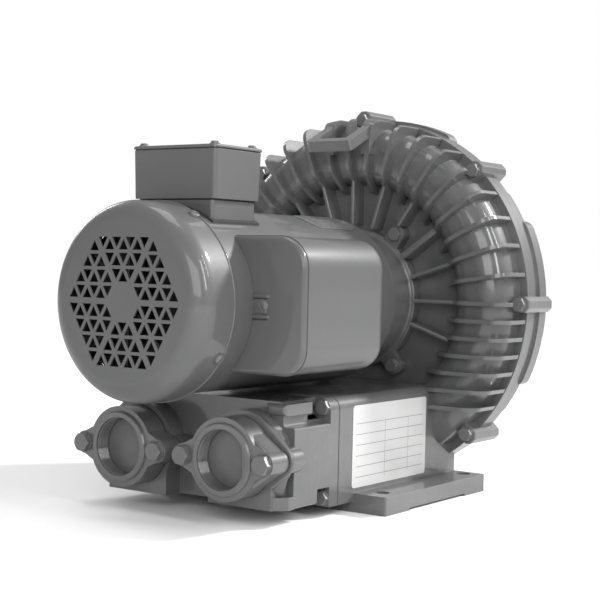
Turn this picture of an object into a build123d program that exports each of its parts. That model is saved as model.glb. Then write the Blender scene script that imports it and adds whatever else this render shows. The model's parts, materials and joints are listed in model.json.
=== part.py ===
from build123d import *
import os
from math import cos, radians, sin, sqrt, tan

# Side channel blower with its motor. Millimetres, +Z up. The shaft runs along Y: the cooling
# fan is at the -Y end and the blower housing at the +Y end. The origin is on the floor, at the
# middle of the four holes in the feet, straight below the shaft.

# Stance
rim_floor_gap = 5.0
hole_spacing_x = 256.0
hole_spacing_y = 164.0
foot_hole_d = 15.0
foot_half_width = 146.5
foot_front_y = -105.0
foot_thickness = 18.3
foot_inner_x = 62.0
relief_front_y = -60.0
relief_back_y = 52.0
relief_height = 2.5
wall_clearance = 0.3

# Blower casting, both halves
split_y = 96.0
channel_r = 157.0
channel_half_width = 25.0
channel_straight = 22.0
channel_wall = 6.0
rim_ledge = 9.5
rim_thickness = 12.0
stopper_half_angle = 14.0
web_setback = 27.0

# Ribs
rib_height = 9.0
rib_thickness = 4.2
rib_pitch_angle = 9.0
rib_corner_r = 16.0
side_rib_pitch = 18.4
side_rib_count = 6
web_rib_pitch_angle = 18.0
web_rib_height = 22.0
web_rib_thickness = 4.2
web_ridge_thickness = 7.0
web_ridge_angles = (36, 144)

# Steps and ribs of the cover
lobe_r = 200.5
lobe_half_angle = 26.0
lobe_depth = 20.0
low_lobe_r = 195.0
low_lobe_half_angle = 38.0
low_lobe_depth = 16.0
cover_rib_thickness = 4.0

# Rim bolts and their lugs
rim_bolt_d = 8.0
rim_bolt_inset = 0.5
lug_out = 10.5
lug_in = 14.0
lug_half_width = 8.4
lug_corner = 4.5
lug_reach = 18.0
lug_back_reach = 14.0
spot_face_r = 9.0
lug_angles = (-45, 0, 45, 90, 135, 180, 225)

# Base box under the motor
box_half_width = 109.0
box_front_y = -131.0
box_bottom_z = 10.0
motor_box_gap = 3.0
box_corner_r = 11.0
box_wall = 14.0
duct_back_y = 30.0
duct_corner_r = 12.0
duct_port_r = 20.0
duct_port_x = 46.0
label_length = 139.5
label_top_margin = 9.5
label_front_y = -108.0
label_bottom_z = 23.0
label_thickness = 0.4
label_corner_r = 4.0

# Port manifold and port flanges
port_spacing = 125.0
port_z = 61.6
port_thread_r = 28.0
port_bore_r = 27.0
port_face_y = -254.2
port_flange_thickness = 27.0
port_flange_r = 38.5
port_lip_height = 3.0
port_lip_r = 33.5
port_bolt_offset = 46.0
port_ear_r = 11.0
port_bolt_d = 10.0
port_gasket_thickness = 1.6
thread_length = 15.0
plug_depth = 17.0
plug_thickness = 4.0
manifold_gasket_thickness = 1.5
manifold_rail_front_y = -209.0
manifold_foot_front_y = -222.0
manifold_block_front_y = -204.5
manifold_rail_height = 10.6
manifold_shoulder_drop = 23.0
manifold_upper_half_width = 96.0
manifold_rail_half_width = 101.5
manifold_foot_rail_height = 12.0
manifold_neck_r = 43.0
manifold_bolt_x = 101.0
manifold_bolt_inset_z = 8.5
manifold_bolt_seat = 14.0
manifold_bolt_d = 8.0
manifold_bottom_z = 15.5
pocket_depth = 20.0
pocket_half_width = 11.0
muffler_thickness = 12.0
muffler_end_gap = 4.0

# Impeller
impeller_root_step = 2.0
impeller_half_thickness = 15.0
impeller_clearance = 0.6
impeller_disc_half = 5.0
impeller_hub_r = 24.0
impeller_hub_front = 17.0
impeller_hub_back = 14.0
vane_count = 40
vane_thickness = 2.6
vane_pocket_r = 13.0
impeller_bore_r = 11.0
key_width = 6.0
key_height = 6.0
key_length = 26.0
impeller_bolt_d = 8.0
impeller_washer_r = 17.0
impeller_washer_thickness = 3.0

# Motor
motor_r = 86.5
motor_wall = 4.0
motor_frame_length = 265.5
drive_bell_length = 71.0
spigot_length = 10.0
motor_flange_r = 77.0
motor_flange_thickness = 13.0
motor_bolt_r = 88.0
motor_bolt_d = 8.0
motor_ear_r = 10.0
motor_bolt_angles = (54, 126, 234, 306)
pilot_r = 45.0
pilot_depth = 3.0
bearing_r = 26.0
bearing_bore_r = 12.5
bearing_width = 15.0
ball_r = 3.9
ball_count = 9
ball_pitch_r = 19.25
ball_clearance = 0.3
drive_bearing_setback = 16.0
fan_bearing_inset = 3.5
seal_r = 22.0
seal_width = 6.0
running_clearance = 0.05
stator_bore_r = 47.5
stator_length = 110.0
stator_front_gap = 62.0
slot_count = 24
slot_depth = 17.0
slot_width = 6.4
winding_clearance = 0.4
winding_overhang = 24.0
air_gap = 0.5
rotor_bore_r = 16.0
through_bolt_d = 6.0
through_bolt_r = 77.5
through_bolt_angles = (20, 160, 200, 340)

# Cooling fan and cowl
cowl_r = 91.5
cowl_depth = 46.0
cowl_wall = 1.6
cowl_front_r = 19.0
cowl_front_y = -319.5
vent_pitch = 16.4
vent_side = 11.0
vent_rows = 4
vent_sector_shift = 2.4
cowl_screw_angles = (-31, 59, 149, 239)
cowl_screw_inset = 6.0
cowl_screw_d = 5.0
fan_r = 79.0
fan_blade_count = 8
fan_blade_length = 24.0
fan_front_gap = 6.0
fan_hub_r = 14.0
fan_bore_r = 7.5
fan_plate_thickness = 2.5
fan_blade_thickness = 2.4

# Capacitor cover on the side of the motor
capacitor_cover_x = 142.0
capacitor_cover_front_y = -241.0
capacitor_cover_length = 139.0
capacitor_cover_top = 61.5
capacitor_cover_bottom = -62.0
capacitor_cover_corner_r = 29.0
capacitor_cover_low_r = 24.0
capacitor_cover_end_r = 20.0
capacitor_cover_edge_r = 4.5
capacitor_cover_wall = 1.6
capacitor_r = 18.5
capacitor_length = 105.0
capacitor_gap = 12.0
capacitor_offset_z = 23.0
capacitor_offset_x = 114.0
cradle_width = 22.0
clip_screw_x = 97.0
clip_screw_d = 5.0

# Conduit riser, box and lid
riser_half_width = 45.3
riser_length = 64.0
riser_front_y = -251.0
riser_wall = 4.0
riser_gasket_thickness = 2.0
riser_gasket_lip = 2.5
conduit_half_width = 50.0
conduit_front_y = -254.2
conduit_length = 69.7
conduit_rise = 8.3
conduit_height = 45.4
conduit_wall = 3.0
conduit_draft = 2.0
conduit_corner_r = 4.0
conduit_gasket_thickness = 1.2
lid_gasket_thickness = 1.0
lid_thickness = 3.0
lid_screw_inset = 7.0
lid_screw_d = 4.0
conduit_entry_r = 11.1
conduit_entry_z = 24.0

# Motor nameplate, curved to the frame
nameplate_angle = 70.0
nameplate_half_angle = 12.5
nameplate_front_y = -90.0
nameplate_length = 82.0
nameplate_thickness = 0.8
nameplate_corner_r = 18.0

# Lifting loop on top of the housing
loop_half_width = 28.0
loop_bar = 9.0
loop_bar_height = 12.0
loop_front_y = -2.5
loop_bar_drop = 34.5
loop_root_y = 47.0
loop_root_drop = 10.5

# Worked-out places
rim_r = channel_r + channel_half_width + channel_wall + rim_ledge
rim_bolt_r = rim_r - rim_bolt_inset
shaft_height = rim_r + rim_floor_gap
box_top_z = shaft_height - motor_r - motor_box_gap
label_height = box_top_z - label_top_margin - label_bottom_z
manifold_shoulder_z = box_top_z - manifold_shoulder_drop
impeller_tip_r = channel_r + channel_half_width
impeller_root_r = channel_r - channel_half_width - impeller_root_step
conduit_bottom_z = shaft_height + motor_r + conduit_rise
loop_bar_z = shaft_height + rim_r - loop_bar_drop
loop_root_z = shaft_height + rim_r - loop_root_drop
shaft_axis = Axis((0, 0, shaft_height), (0, -1, 0))
web_y = split_y - web_setback
flange_y = split_y - rim_thickness
barrel_half_width = channel_half_width + channel_wall
barrel_in_r = channel_r - barrel_half_width
barrel_out_r = channel_r + barrel_half_width
channel_depth = channel_straight + channel_half_width
crest_setback = channel_depth + channel_wall
crest_y = split_y - crest_setback
box_back_y = split_y
frame_back_y = web_y - drive_bell_length
frame_front_y = frame_back_y - motor_frame_length
frame_bore_r = motor_r - motor_wall
cowl_back_y = cowl_front_y + cowl_depth
flange_back_y = port_face_y + port_flange_thickness
neck_face_y = flange_back_y + port_gasket_thickness
manifold_back_y = box_front_y - manifold_gasket_thickness
drive_bearing_y = web_y - drive_bearing_setback - bearing_width
fan_bearing_y = frame_front_y + fan_bearing_inset - bearing_width
stator_y = frame_back_y - stator_front_gap - stator_length
impeller_front_y = split_y - impeller_half_thickness
impeller_back_y = split_y + impeller_half_thickness
hub_front_y = split_y - impeller_hub_front
hub_back_y = split_y + impeller_hub_back
fan_front_y = cowl_front_y + cowl_wall + fan_front_gap
fan_back_y = fan_front_y + fan_blade_length + fan_plate_thickness
duct_half_height = (box_top_z - box_bottom_z) / 2 - box_wall
duct_z = (box_top_z + box_bottom_z) / 2
duct_inner_x = box_wall / 2
duct_outer_x = box_half_width - box_wall
port_sides = (-1, 1)


# Building blocks

def facing_fan(y, x=0.0, z=shaft_height):
    """Plane square to the shaft at y, seen from the fan end, with its own Y up."""
    return Plane(origin=(x, y, z), x_dir=(1, 0, 0), z_dir=(0, -1, 0))


def along_y(face, front_y, back_y, x=0.0, z=shaft_height):
    """Carry a face, drawn as seen from the fan end, from front_y back to back_y."""
    return extrude(facing_fan(back_y, x, z) * face, back_y - front_y)


def drum(r, front_y, back_y, x=0.0, z=shaft_height):
    return along_y(Circle(r), front_y, back_y, x, z)


def ring(outer_r, inner_r, front_y, back_y, x=0.0, z=shaft_height):
    return along_y(Circle(outer_r) - Circle(inner_r), front_y, back_y, x, z)


def outline(*points):
    """Closed face through the points. A third value is that corner's radius."""
    count = len(points)
    edges = []
    arrivals = []
    departures = []
    for i, point in enumerate(points):
        corner = Vector(point[0], point[1])
        before = (Vector(*points[i - 1][:2]) - corner).normalized()
        after = (Vector(*points[(i + 1) % count][:2]) - corner).normalized()
        radius = point[2] if len(point) == 3 else 0
        half_angle = radians(before.get_angle(after) / 2)
        reach = radius / tan(half_angle)
        arrivals.append(corner + before * reach)
        departures.append(corner + after * reach)
        if radius:
            inward = (before + after).normalized()
            middle = corner + inward * (radius / sin(half_angle) - radius)
            edges.append(ThreePointArc(arrivals[-1], middle, departures[-1]))
    for i in range(count):
        start = departures[i]
        finish = arrivals[(i + 1) % count]
        if (finish - start).length > 1e-6:
            edges.append(Line(start, finish))
    return make_face(edges)


def turned(face, angle=360.0, start=0.0):
    """Spin a face of (radius, y) points about the shaft, from start degrees above +X."""
    solid = revolve(Pos(0, 0, shaft_height) * face, shaft_axis, angle)
    return solid.rotate(shaft_axis, start)


def around_shaft(angle, r):
    """X and Z of a point at an angle above +X and a radius from the shaft."""
    return r * cos(radians(angle)), shaft_height + r * sin(radians(angle))


def block(x0, x1, y0, y1, z0, z1):
    return Pos((x0 + x1) / 2, (y0 + y1) / 2, (z0 + z1) / 2) * Box(x1 - x0, y1 - y0, z1 - z0)


def joined(shapes):
    shapes = list(shapes)
    return shapes[0].fuse(*shapes[1:]) if len(shapes) > 1 else shapes[0]


def hex_bolt(d, length, x, seat_y, z):
    """Hexagon head bolt whose head faces the fan end and seats at seat_y."""
    head_r = d * 0.95
    head_height = d * 0.65
    washer_height = d * 0.12
    head = along_y(RegularPolygon(head_r, 6), seat_y - head_height, seat_y - washer_height, x, z)
    head = head & turned_at(x, z, head_r, head_height, seat_y)
    washer = drum(head_r * 1.02, seat_y - washer_height, seat_y, x, z)
    shank = drum(d / 2, seat_y, seat_y + length, x, z)
    return joined([head, washer, shank])


def turned_at(x, z, head_r, head_height, seat_y):
    """Chamfered blank that takes the corners off a bolt head."""
    front = seat_y - head_height
    blank = drum(head_r * 1.01, front, seat_y, x, z)
    return chamfer(blank.edges().group_by(Axis.Y)[0], head_r * 0.14)


def bolt_hole(d, front_y, back_y, x, z):
    return drum(d / 2 + wall_clearance, front_y, back_y, x, z)


# Blower casting

def channel(back):
    """The open side channel of one half, with the solid stopper left at the bottom."""
    side = 1 if back else -1
    straight_y = split_y + side * channel_straight
    face = Pos(channel_r, straight_y) * Circle(channel_half_width)
    low_y = min(split_y, straight_y)
    face += Pos(channel_r, low_y + channel_straight / 2) * Rectangle(
        2 * channel_half_width, channel_straight)
    return turned(face, 360 - 2 * stopper_half_angle, stopper_half_angle - 90)


def impeller_chamber(back):
    """Room for the wheel in one half of the casting, a running gap wider than the wheel."""
    side = 1 if back else -1
    rim_y = split_y + side * (impeller_half_thickness + impeller_clearance)
    hub_reach = impeller_hub_back if back else impeller_hub_front
    hub_y = split_y + side * (hub_reach + impeller_clearance)
    tip_r = impeller_tip_r + impeller_clearance
    hub_r = impeller_hub_r + impeller_clearance
    chamber = drum(tip_r, min(split_y, rim_y), max(split_y, rim_y))
    return chamber + drum(hub_r, min(split_y, hub_y), max(split_y, hub_y))


def housing_shell():
    """Web, half-ring barrel and rim flange of the motor side."""
    return turned(outline(
        (0, web_y),
        (barrel_in_r, web_y),
        (barrel_in_r, crest_y, barrel_half_width - 5),
        (barrel_out_r, crest_y, barrel_half_width - 5),
        (barrel_out_r, flange_y),
        (rim_r, flange_y),
        (rim_r, split_y),
        (0, split_y)))


def rib_envelope():
    """Ring that every rib is cut from: flush with the rim, proud of the barrel elsewhere."""
    front_y = crest_y - rib_height
    inner_r = barrel_in_r - rib_height
    return turned(outline(
        (inner_r, web_y + 1),
        (inner_r, web_y - rib_height, rib_corner_r),
        (channel_r - barrel_half_width / 2, front_y, rib_corner_r),
        (rim_r, front_y, rib_corner_r),
        (rim_r, flange_y + 1),
        (channel_r, flange_y + 1),
        (channel_r, web_y + 1)))


def upper_ribs():
    reach = rim_r + 1 - channel_r / 2
    middle_r = channel_r / 2 + reach / 2
    count = round(180 / rib_pitch_angle) + 1
    length = web_y + crest_setback
    slab = Box(reach, length, rib_thickness)
    slabs = []
    for i in range(count):
        angle = i * rib_pitch_angle
        x, z = around_shaft(angle, middle_r)
        slabs.append(Pos(x, web_y - length / 2 + rim_thickness, z) * Rot(0, -angle, 0) * slab)
    return slabs


def side_ribs():
    length = web_y + crest_setback
    slabs = []
    for side in port_sides:
        for i in range(side_rib_count):
            z = shaft_height - (i + 1) * side_rib_pitch
            x = side * (rim_r / 2 + 1)
            slab = Box(rim_r, length, rib_thickness)
            slabs.append(Pos(x, web_y - length / 2 + rim_thickness, z) * slab)
    return slabs


def web_ribs():
    """Deep stiffeners from the motor flange out to the barrel, in line with its ribs."""
    ribs = []
    for i in range(round(180 / web_rib_pitch_angle) + 3):
        angle = (i - 1) * web_rib_pitch_angle
        start_r = motor_flange_r + 4
        if angle in motor_bolt_angles:
            start_r = motor_bolt_r + motor_ear_r + 2
        thickness = web_rib_thickness
        if angle in web_ridge_angles:
            thickness = web_ridge_thickness
        reach = barrel_in_r + 4 - start_r
        rib = Box(reach, web_rib_height + 1, thickness)
        rib = fillet(rib.edges().filter_by(Axis.X).group_by(Axis.Y)[0], thickness * 0.4)
        x, z = around_shaft(angle, start_r + reach / 2)
        ribs.append(Pos(x, web_y - web_rib_height / 2 + 0.5, z) * Rot(0, -angle, 0) * rib)
    return ribs


def lugs(front_y, back_y, free_y):
    """Bolt lugs round the rim, bevelled on the outside and softened at their free end."""
    flat = lug_half_width - lug_corner
    face = outline(
        (-lug_in, -lug_half_width),
        (lug_out - lug_corner, -lug_half_width, 2),
        (lug_out, -flat, 2),
        (lug_out, flat, 2),
        (lug_out - lug_corner, lug_half_width, 2),
        (-lug_in, lug_half_width))
    shapes = []
    for angle in lug_angles:
        x, z = around_shaft(angle, rim_bolt_r)
        lug = along_y(Rot(0, 0, angle) * face, front_y, back_y, x, z)
        free = [edge for edge in lug.edges() if abs(edge.center().Y - free_y) < 0.1]
        shapes.append(chamfer(free, 1.2))
    return shapes


def box_section():
    """The box seen from the front, its top corners rounded."""
    face = Rectangle(2 * box_half_width, box_top_z - box_bottom_z)
    return fillet(face.vertices().group_by(Axis.Y)[-1], box_corner_r)


def base_box():
    """Box casting that holds the two ducts, with its label face on each side."""
    return along_y(box_section(), box_front_y, box_back_y, 0, duct_z)


def feet():
    shapes = []
    for side in port_sides:
        x0, x1 = sorted((side * foot_inner_x, side * foot_half_width))
        foot = block(x0, x1, foot_front_y, box_back_y, 0, foot_thickness)
        foot = fillet(foot.edges().filter_by(Axis.Z), 2.0)
        relief_x0, relief_x1 = sorted((side * (foot_inner_x - 1), side * (foot_half_width + 1)))
        foot -= block(relief_x0, relief_x1, relief_front_y, relief_back_y, -1, relief_height)
        for y in (-hole_spacing_y / 2, hole_spacing_y / 2):
            x = side * hole_spacing_x / 2
            foot -= Pos(x, y, foot_thickness / 2) * Cylinder(foot_hole_d / 2, foot_thickness + 2)
        shapes.append(foot)
    return shapes


def duct(side):
    """One of the two chambers in the base box, open at the front."""
    width = duct_outer_x - duct_inner_x
    face = RectangleRounded(width, 2 * duct_half_height, duct_corner_r)
    x = side * (duct_inner_x + duct_outer_x) / 2
    return along_y(face, box_front_y - 1, duct_back_y, x, duct_z)


def duct_port(side):
    """Passage from a duct chamber up into the side channel."""
    x = side * duct_port_x
    z = shaft_height - sqrt(channel_r ** 2 - duct_port_x ** 2)
    return drum(duct_port_r, duct_back_y - 1, split_y - channel_straight, x, z)


def loop_pads():
    """Solid feet between the top ribs that the arms of the lifting loop stand on."""
    pads = []
    for side in port_sides:
        x0, x1 = sorted((side * (loop_half_width - loop_bar - 1), side * (loop_half_width + 1)))
        z0 = shaft_height + channel_r
        pads.append(block(x0, x1, crest_y - rib_height - 1, flange_y, z0, shaft_height + rim_r + 1))
    return pads


def blower_housing():
    envelope = rib_envelope()
    ribs = [envelope & slab for slab in upper_ribs() + side_ribs() + loop_pads()]
    body = joined([housing_shell(), base_box()] + ribs + web_ribs())
    lug_front_y = flange_y - lug_reach
    body = joined([body] + lugs(lug_front_y, split_y, lug_front_y) + feet())
    body -= channel(False)
    body -= impeller_chamber(False)
    body -= drum(pilot_r + running_clearance, web_y - web_rib_height, web_y + pilot_depth + 0.5)
    body -= drum(seal_r, web_y, split_y)
    for side in port_sides:
        body -= duct(side)
        body -= duct_port(side)
        for z in manifold_bolt_heights():
            x = side * manifold_bolt_x
            body -= drum(manifold_bolt_d / 2, box_front_y - 1, box_front_y + 2 * manifold_bolt_d, x, z)
    for angle in lug_angles:
        x, z = around_shaft(angle, rim_bolt_r)
        body -= bolt_hole(rim_bolt_d, lug_front_y - 1, split_y + 1, x, z)
        body -= drum(spot_face_r, lug_front_y - 2 * rim_bolt_d, lug_front_y, x, z)
    for angle in motor_bolt_angles:
        x, z = around_shaft(angle, motor_bolt_r)
        ear_front_y = web_y - motor_flange_thickness - motor_bolt_d
        body -= drum(motor_bolt_d / 2, web_y - 1, impeller_front_y - 2, x, z)
        body -= drum(motor_ear_r + wall_clearance, ear_front_y, web_y, x, z)
    return body


def cover_lobe(middle_angle, half_angle, lobe_r, depth):
    """One raised step behind the rim, with rounded ends and a rounded back edge."""
    chord = lobe_r * sin(radians(half_angle))
    face = Circle(lobe_r) & Pos(lobe_r, 0) * Rectangle(lobe_r * 1.2, 2 * chord)
    face = Rot(0, 0, middle_angle) * fillet(face.vertices().group_by(Axis.X)[-1], 12)
    start_y = split_y + rim_thickness - 1
    lobe = along_y(face, start_y, start_y + depth)
    return fillet(lobe.edges().group_by(Axis.Y)[-1], 6)


def cover_lobes():
    """Two-tier steps at each side and at the top."""
    lobes = []
    for angle in (0, 90, 180):
        lobes.append(cover_lobe(angle, lobe_half_angle, lobe_r, lobe_depth))
        lobes.append(cover_lobe(angle, low_lobe_half_angle, low_lobe_r, low_lobe_depth))
    return lobes


def cover_ribs():
    """Stiffening ribs on the back of the cover."""
    back_y = split_y + crest_setback
    profile = outline(
        (impeller_hub_r + 14, split_y + impeller_hub_back),
        (barrel_in_r + 12, split_y + impeller_hub_back),
        (barrel_in_r + 12, back_y + 2, 3),
        (barrel_in_r - 2, back_y - 6, 8),
        (impeller_hub_r + 14, cover_plate_y() + 6))
    ribs = []
    for i in range(12):
        rib = extrude(Pos(0, 0, shaft_height) * profile, cover_rib_thickness / 2, both=True)
        ribs.append(rib.rotate(shaft_axis, i * 30))
    return ribs


def cover_plate_y():
    return split_y + impeller_half_thickness + 8


def blower_cover():
    plate_y = cover_plate_y()
    back_y = split_y + crest_setback
    hub_wall_y = split_y + impeller_hub_back + 14
    shell = turned(outline(
        (0, split_y),
        (rim_r, split_y),
        (rim_r, split_y + rim_thickness),
        (barrel_out_r, split_y + rim_thickness),
        (barrel_out_r, back_y, barrel_half_width - 5),
        (barrel_in_r, back_y, barrel_half_width - 5),
        (barrel_in_r, plate_y),
        (impeller_hub_r + 20, plate_y),
        (impeller_hub_r + 16, hub_wall_y, 3),
        (0, hub_wall_y)))
    body = joined([shell] + cover_lobes() + cover_ribs())
    lug_back_y = split_y + rim_thickness + lug_back_reach
    body = joined([body] + lugs(split_y, lug_back_y, lug_back_y))
    body -= channel(True)
    body -= impeller_chamber(True)
    body -= drum(impeller_washer_r + 2, split_y, hub_wall_y - 4)
    for angle in lug_angles:
        x, z = around_shaft(angle, rim_bolt_r)
        body -= drum(rim_bolt_d / 2, split_y - 1, split_y + rim_thickness + 1, x, z)
    return body


def rim_bolts():
    seat_y = flange_y - lug_reach
    length = split_y + rim_thickness - seat_y
    bolts = [hex_bolt(rim_bolt_d, length, *place) for place in rim_bolt_places(seat_y)]
    return Compound(children=bolts)


def rim_bolt_places(seat_y):
    places = []
    for angle in lug_angles:
        x, z = around_shaft(angle, rim_bolt_r)
        places.append((x, seat_y, z))
    return places


def lifting_loop():
    """Sloping cast eye: two arms from the top ribs and a bar across their ends."""
    path_y = (loop_root_y, loop_front_y)
    path_z = (loop_root_z, loop_bar_z)
    slope = Vector(0, path_y[1] - path_y[0], path_z[1] - path_z[0])
    plane = Plane(
        origin=(0, path_y[0], path_z[0]), x_dir=(1, 0, 0), z_dir=slope.cross(Vector(1, 0, 0)))
    length = slope.length
    outer = Rectangle(2 * loop_half_width, length)
    outer = fillet(outer.vertices().group_by(Axis.Y)[0], 4)
    inner = Pos(0, loop_bar / 2) * Rectangle(2 * (loop_half_width - loop_bar), length - loop_bar)
    inner = fillet(inner.vertices().group_by(Axis.Y)[0], 3)
    face = Pos(0, -length / 2) * (outer - inner)
    loop = extrude(plane * face, loop_bar_height / 2, both=True)
    return loop - rib_envelope()


# Port manifold, port flanges and ducts

def manifold_bolt_heights():
    return (box_bottom_z + manifold_bolt_inset_z, box_top_z - manifold_bolt_inset_z)


def manifold_neck(side):
    """Barrel behind one port, with a flat foot and a pad for each flange bolt."""
    face = Circle(manifold_neck_r)
    foot_height = port_z - manifold_bottom_z
    face += Pos(0, -foot_height / 2) * Rectangle(1.7 * manifold_neck_r, foot_height)
    for ear in port_sides:
        face += Pos(ear * port_bolt_offset, 0) * Circle(port_ear_r + 1)
    x = side * port_spacing / 2
    return along_y(face, neck_face_y, manifold_block_front_y + 1, x, port_z)


def manifold_section():
    """Outline from the front: full width up to the shoulders, narrower above them."""
    low = manifold_bottom_z - shaft_height
    shoulder = manifold_shoulder_z - shaft_height
    top = box_top_z - shaft_height
    wide = box_half_width
    upper = manifold_upper_half_width
    return outline(
        (-wide, low, 3), (wide, low, 3), (wide, shoulder, 2.5), (upper, shoulder, 3),
        (upper, top, 5), (-upper, top, 5), (-upper, shoulder, 3), (-wide, shoulder, 2.5))


def port_manifold():
    seat_y = manifold_back_y - manifold_bolt_seat
    body = along_y(manifold_section(), manifold_block_front_y, seat_y + 1, 0, shaft_height)
    plate = along_y(box_section(), seat_y, manifold_back_y, 0, duct_z)
    rail_bottom = box_top_z - 2 - manifold_rail_height
    foot_rail_top = manifold_bottom_z + manifold_foot_rail_height
    back_y = manifold_block_front_y + 1
    pieces = [body, plate] + [manifold_neck(side) for side in port_sides]
    for side in port_sides:
        x0, x1 = sorted((side * (box_half_width - 30), side * manifold_rail_half_width))
        rail = block(x0, x1, manifold_rail_front_y, seat_y + 1, rail_bottom, box_top_z - 2)
        rail = fillet(rail.edges().group_by(Axis.Y)[0], 3.5)
        x0, x1 = sorted((side * (box_half_width - 26), side * box_half_width))
        foot_rail = block(x0, x1, manifold_foot_front_y, back_y, manifold_bottom_z, foot_rail_top)
        pieces += [rail, chamfer(foot_rail.edges().group_by(Axis.Y)[0].filter_by(Axis.Z), 10)]
    body = joined(pieces)
    for side in port_sides:
        body -= manifold_duct(side)
        for ear in port_sides:
            x = side * port_spacing / 2 + ear * port_bolt_offset
            body -= drum(port_bolt_d / 2, neck_face_y - 1, neck_face_y + 1.8 * port_bolt_d, x, port_z)
        for z in manifold_bolt_heights():
            x = side * manifold_bolt_x
            body -= bolt_hole(manifold_bolt_d, seat_y - 1, manifold_back_y + 1, x, z)
            body -= bolt_pocket(side, seat_y, z)
    return body


def bolt_pocket(side, seat_y, z):
    """Notch in the corner of the manifold that lets a spanner onto the bolt head."""
    x0, x1 = sorted((side * (manifold_bolt_x - pocket_half_width), side * (box_half_width + 1)))
    upward = 1 if z > duct_z else -1
    z0, z1 = sorted((z - upward * pocket_half_width, z + upward * (manifold_bolt_inset_z + 1)))
    return block(x0, x1, seat_y - pocket_depth, seat_y, z0, z1)


def manifold_duct(side):
    width = duct_outer_x - duct_inner_x
    face = RectangleRounded(width, 2 * duct_half_height, duct_corner_r)
    x = side * (duct_inner_x + duct_outer_x) / 2
    chamber_front_y = manifold_block_front_y + box_wall
    chamber = along_y(face, chamber_front_y, manifold_back_y + 1, x, duct_z)
    port_x = side * port_spacing / 2
    return chamber + drum(port_bore_r, neck_face_y - 1, chamber_front_y + 1, port_x, port_z)


def manifold_gasket():
    face = box_section()
    width = duct_outer_x - duct_inner_x
    for side in port_sides:
        hole = RectangleRounded(width, 2 * duct_half_height, duct_corner_r)
        face -= Pos(side * (duct_inner_x + duct_outer_x) / 2, 0) * hole
        for z in manifold_bolt_heights():
            bolt = Circle(manifold_bolt_d / 2 + wall_clearance)
            face -= Pos(side * manifold_bolt_x, z - duct_z) * bolt
    return along_y(face, manifold_back_y, box_front_y, 0, duct_z)


def manifold_bolts():
    seat_y = manifold_back_y - manifold_bolt_seat
    length = manifold_bolt_seat + manifold_gasket_thickness + 1.5 * manifold_bolt_d
    bolts = []
    for side in port_sides:
        for z in manifold_bolt_heights():
            bolts.append(hex_bolt(manifold_bolt_d, length, side * manifold_bolt_x, seat_y, z))
    return Compound(children=bolts)


def port_face_outline(hole_r):
    """Oval two-bolt flange: a ring with an ear at each side."""
    ear_spread = port_bolt_offset
    bridge = port_flange_r * 0.86
    hull = outline(
        (-ear_spread, -port_ear_r), (0, -bridge), (ear_spread, -port_ear_r),
        (ear_spread, port_ear_r), (0, bridge), (-ear_spread, port_ear_r))
    face = Circle(port_flange_r) + hull
    for ear in port_sides:
        face += Pos(ear * ear_spread, 0) * Circle(port_ear_r)
    for ear in port_sides:
        face -= Pos(ear * ear_spread, 0) * Circle(hole_r)
    return face


def port_flange(side):
    x = side * port_spacing / 2
    face_y = port_face_y + port_lip_height
    flange = along_y(port_face_outline(port_bolt_d / 2 + wall_clearance), face_y, flange_back_y, x, port_z)
    lip = drum(port_lip_r, port_face_y, face_y + 1, x, port_z)
    lip = chamfer(lip.edges().group_by(Axis.Y)[0], port_lip_height * 0.4)
    flange += lip
    flange -= drum(port_thread_r, port_face_y - 1, port_face_y + thread_length, x, port_z)
    return flange - drum(port_bore_r, port_face_y, flange_back_y + 1, x, port_z)


def inlet_flange():
    return port_flange(-1)


def outlet_flange():
    return port_flange(1)


def port_gasket(side):
    face = port_face_outline(port_bolt_d / 2 + wall_clearance) - Circle(port_bore_r)
    return along_y(face, flange_back_y, neck_face_y, side * port_spacing / 2, port_z)


def inlet_gasket():
    return port_gasket(-1)


def outlet_gasket():
    return port_gasket(1)


def port_flange_bolts():
    seat_y = port_face_y + port_lip_height
    length = neck_face_y - seat_y + 1.4 * port_bolt_d
    bolts = []
    for side in port_sides:
        for ear in port_sides:
            x = side * port_spacing / 2 + ear * port_bolt_offset
            bolts.append(hex_bolt(port_bolt_d, length, x, seat_y, port_z))
    return Compound(children=bolts)


def port_plug(side):
    """Dust plug pushed into a port, behind its thread."""
    x = side * port_spacing / 2
    front_y = port_face_y + plug_depth
    plug = drum(port_bore_r - running_clearance, front_y, front_y + plug_thickness, x, port_z)
    return plug


def inlet_plug():
    return port_plug(-1)


def outlet_plug():
    return port_plug(1)


def muffler(side):
    """Open-cell foam sleeve that lines a duct chamber."""
    width = duct_outer_x - duct_inner_x - 2 * wall_clearance
    height = 2 * duct_half_height - 2 * wall_clearance
    face = RectangleRounded(width, height, duct_corner_r - wall_clearance)
    face -= RectangleRounded(
        width - 2 * muffler_thickness, height - 2 * muffler_thickness, duct_corner_r / 2)
    x = side * (duct_inner_x + duct_outer_x) / 2
    return along_y(face, box_front_y + muffler_end_gap, duct_back_y - wall_clearance, x, duct_z)


def inlet_muffler():
    return muffler(-1)


def outlet_muffler():
    return muffler(1)


def rating_label():
    face = RectangleRounded(label_length, label_height, label_corner_r)
    plane = Plane(
        origin=(box_half_width, label_front_y + label_length / 2, label_bottom_z + label_height / 2),
        x_dir=(0, 1, 0), z_dir=(1, 0, 0))
    return extrude(plane * face, label_thickness)


# Rotating group

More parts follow.
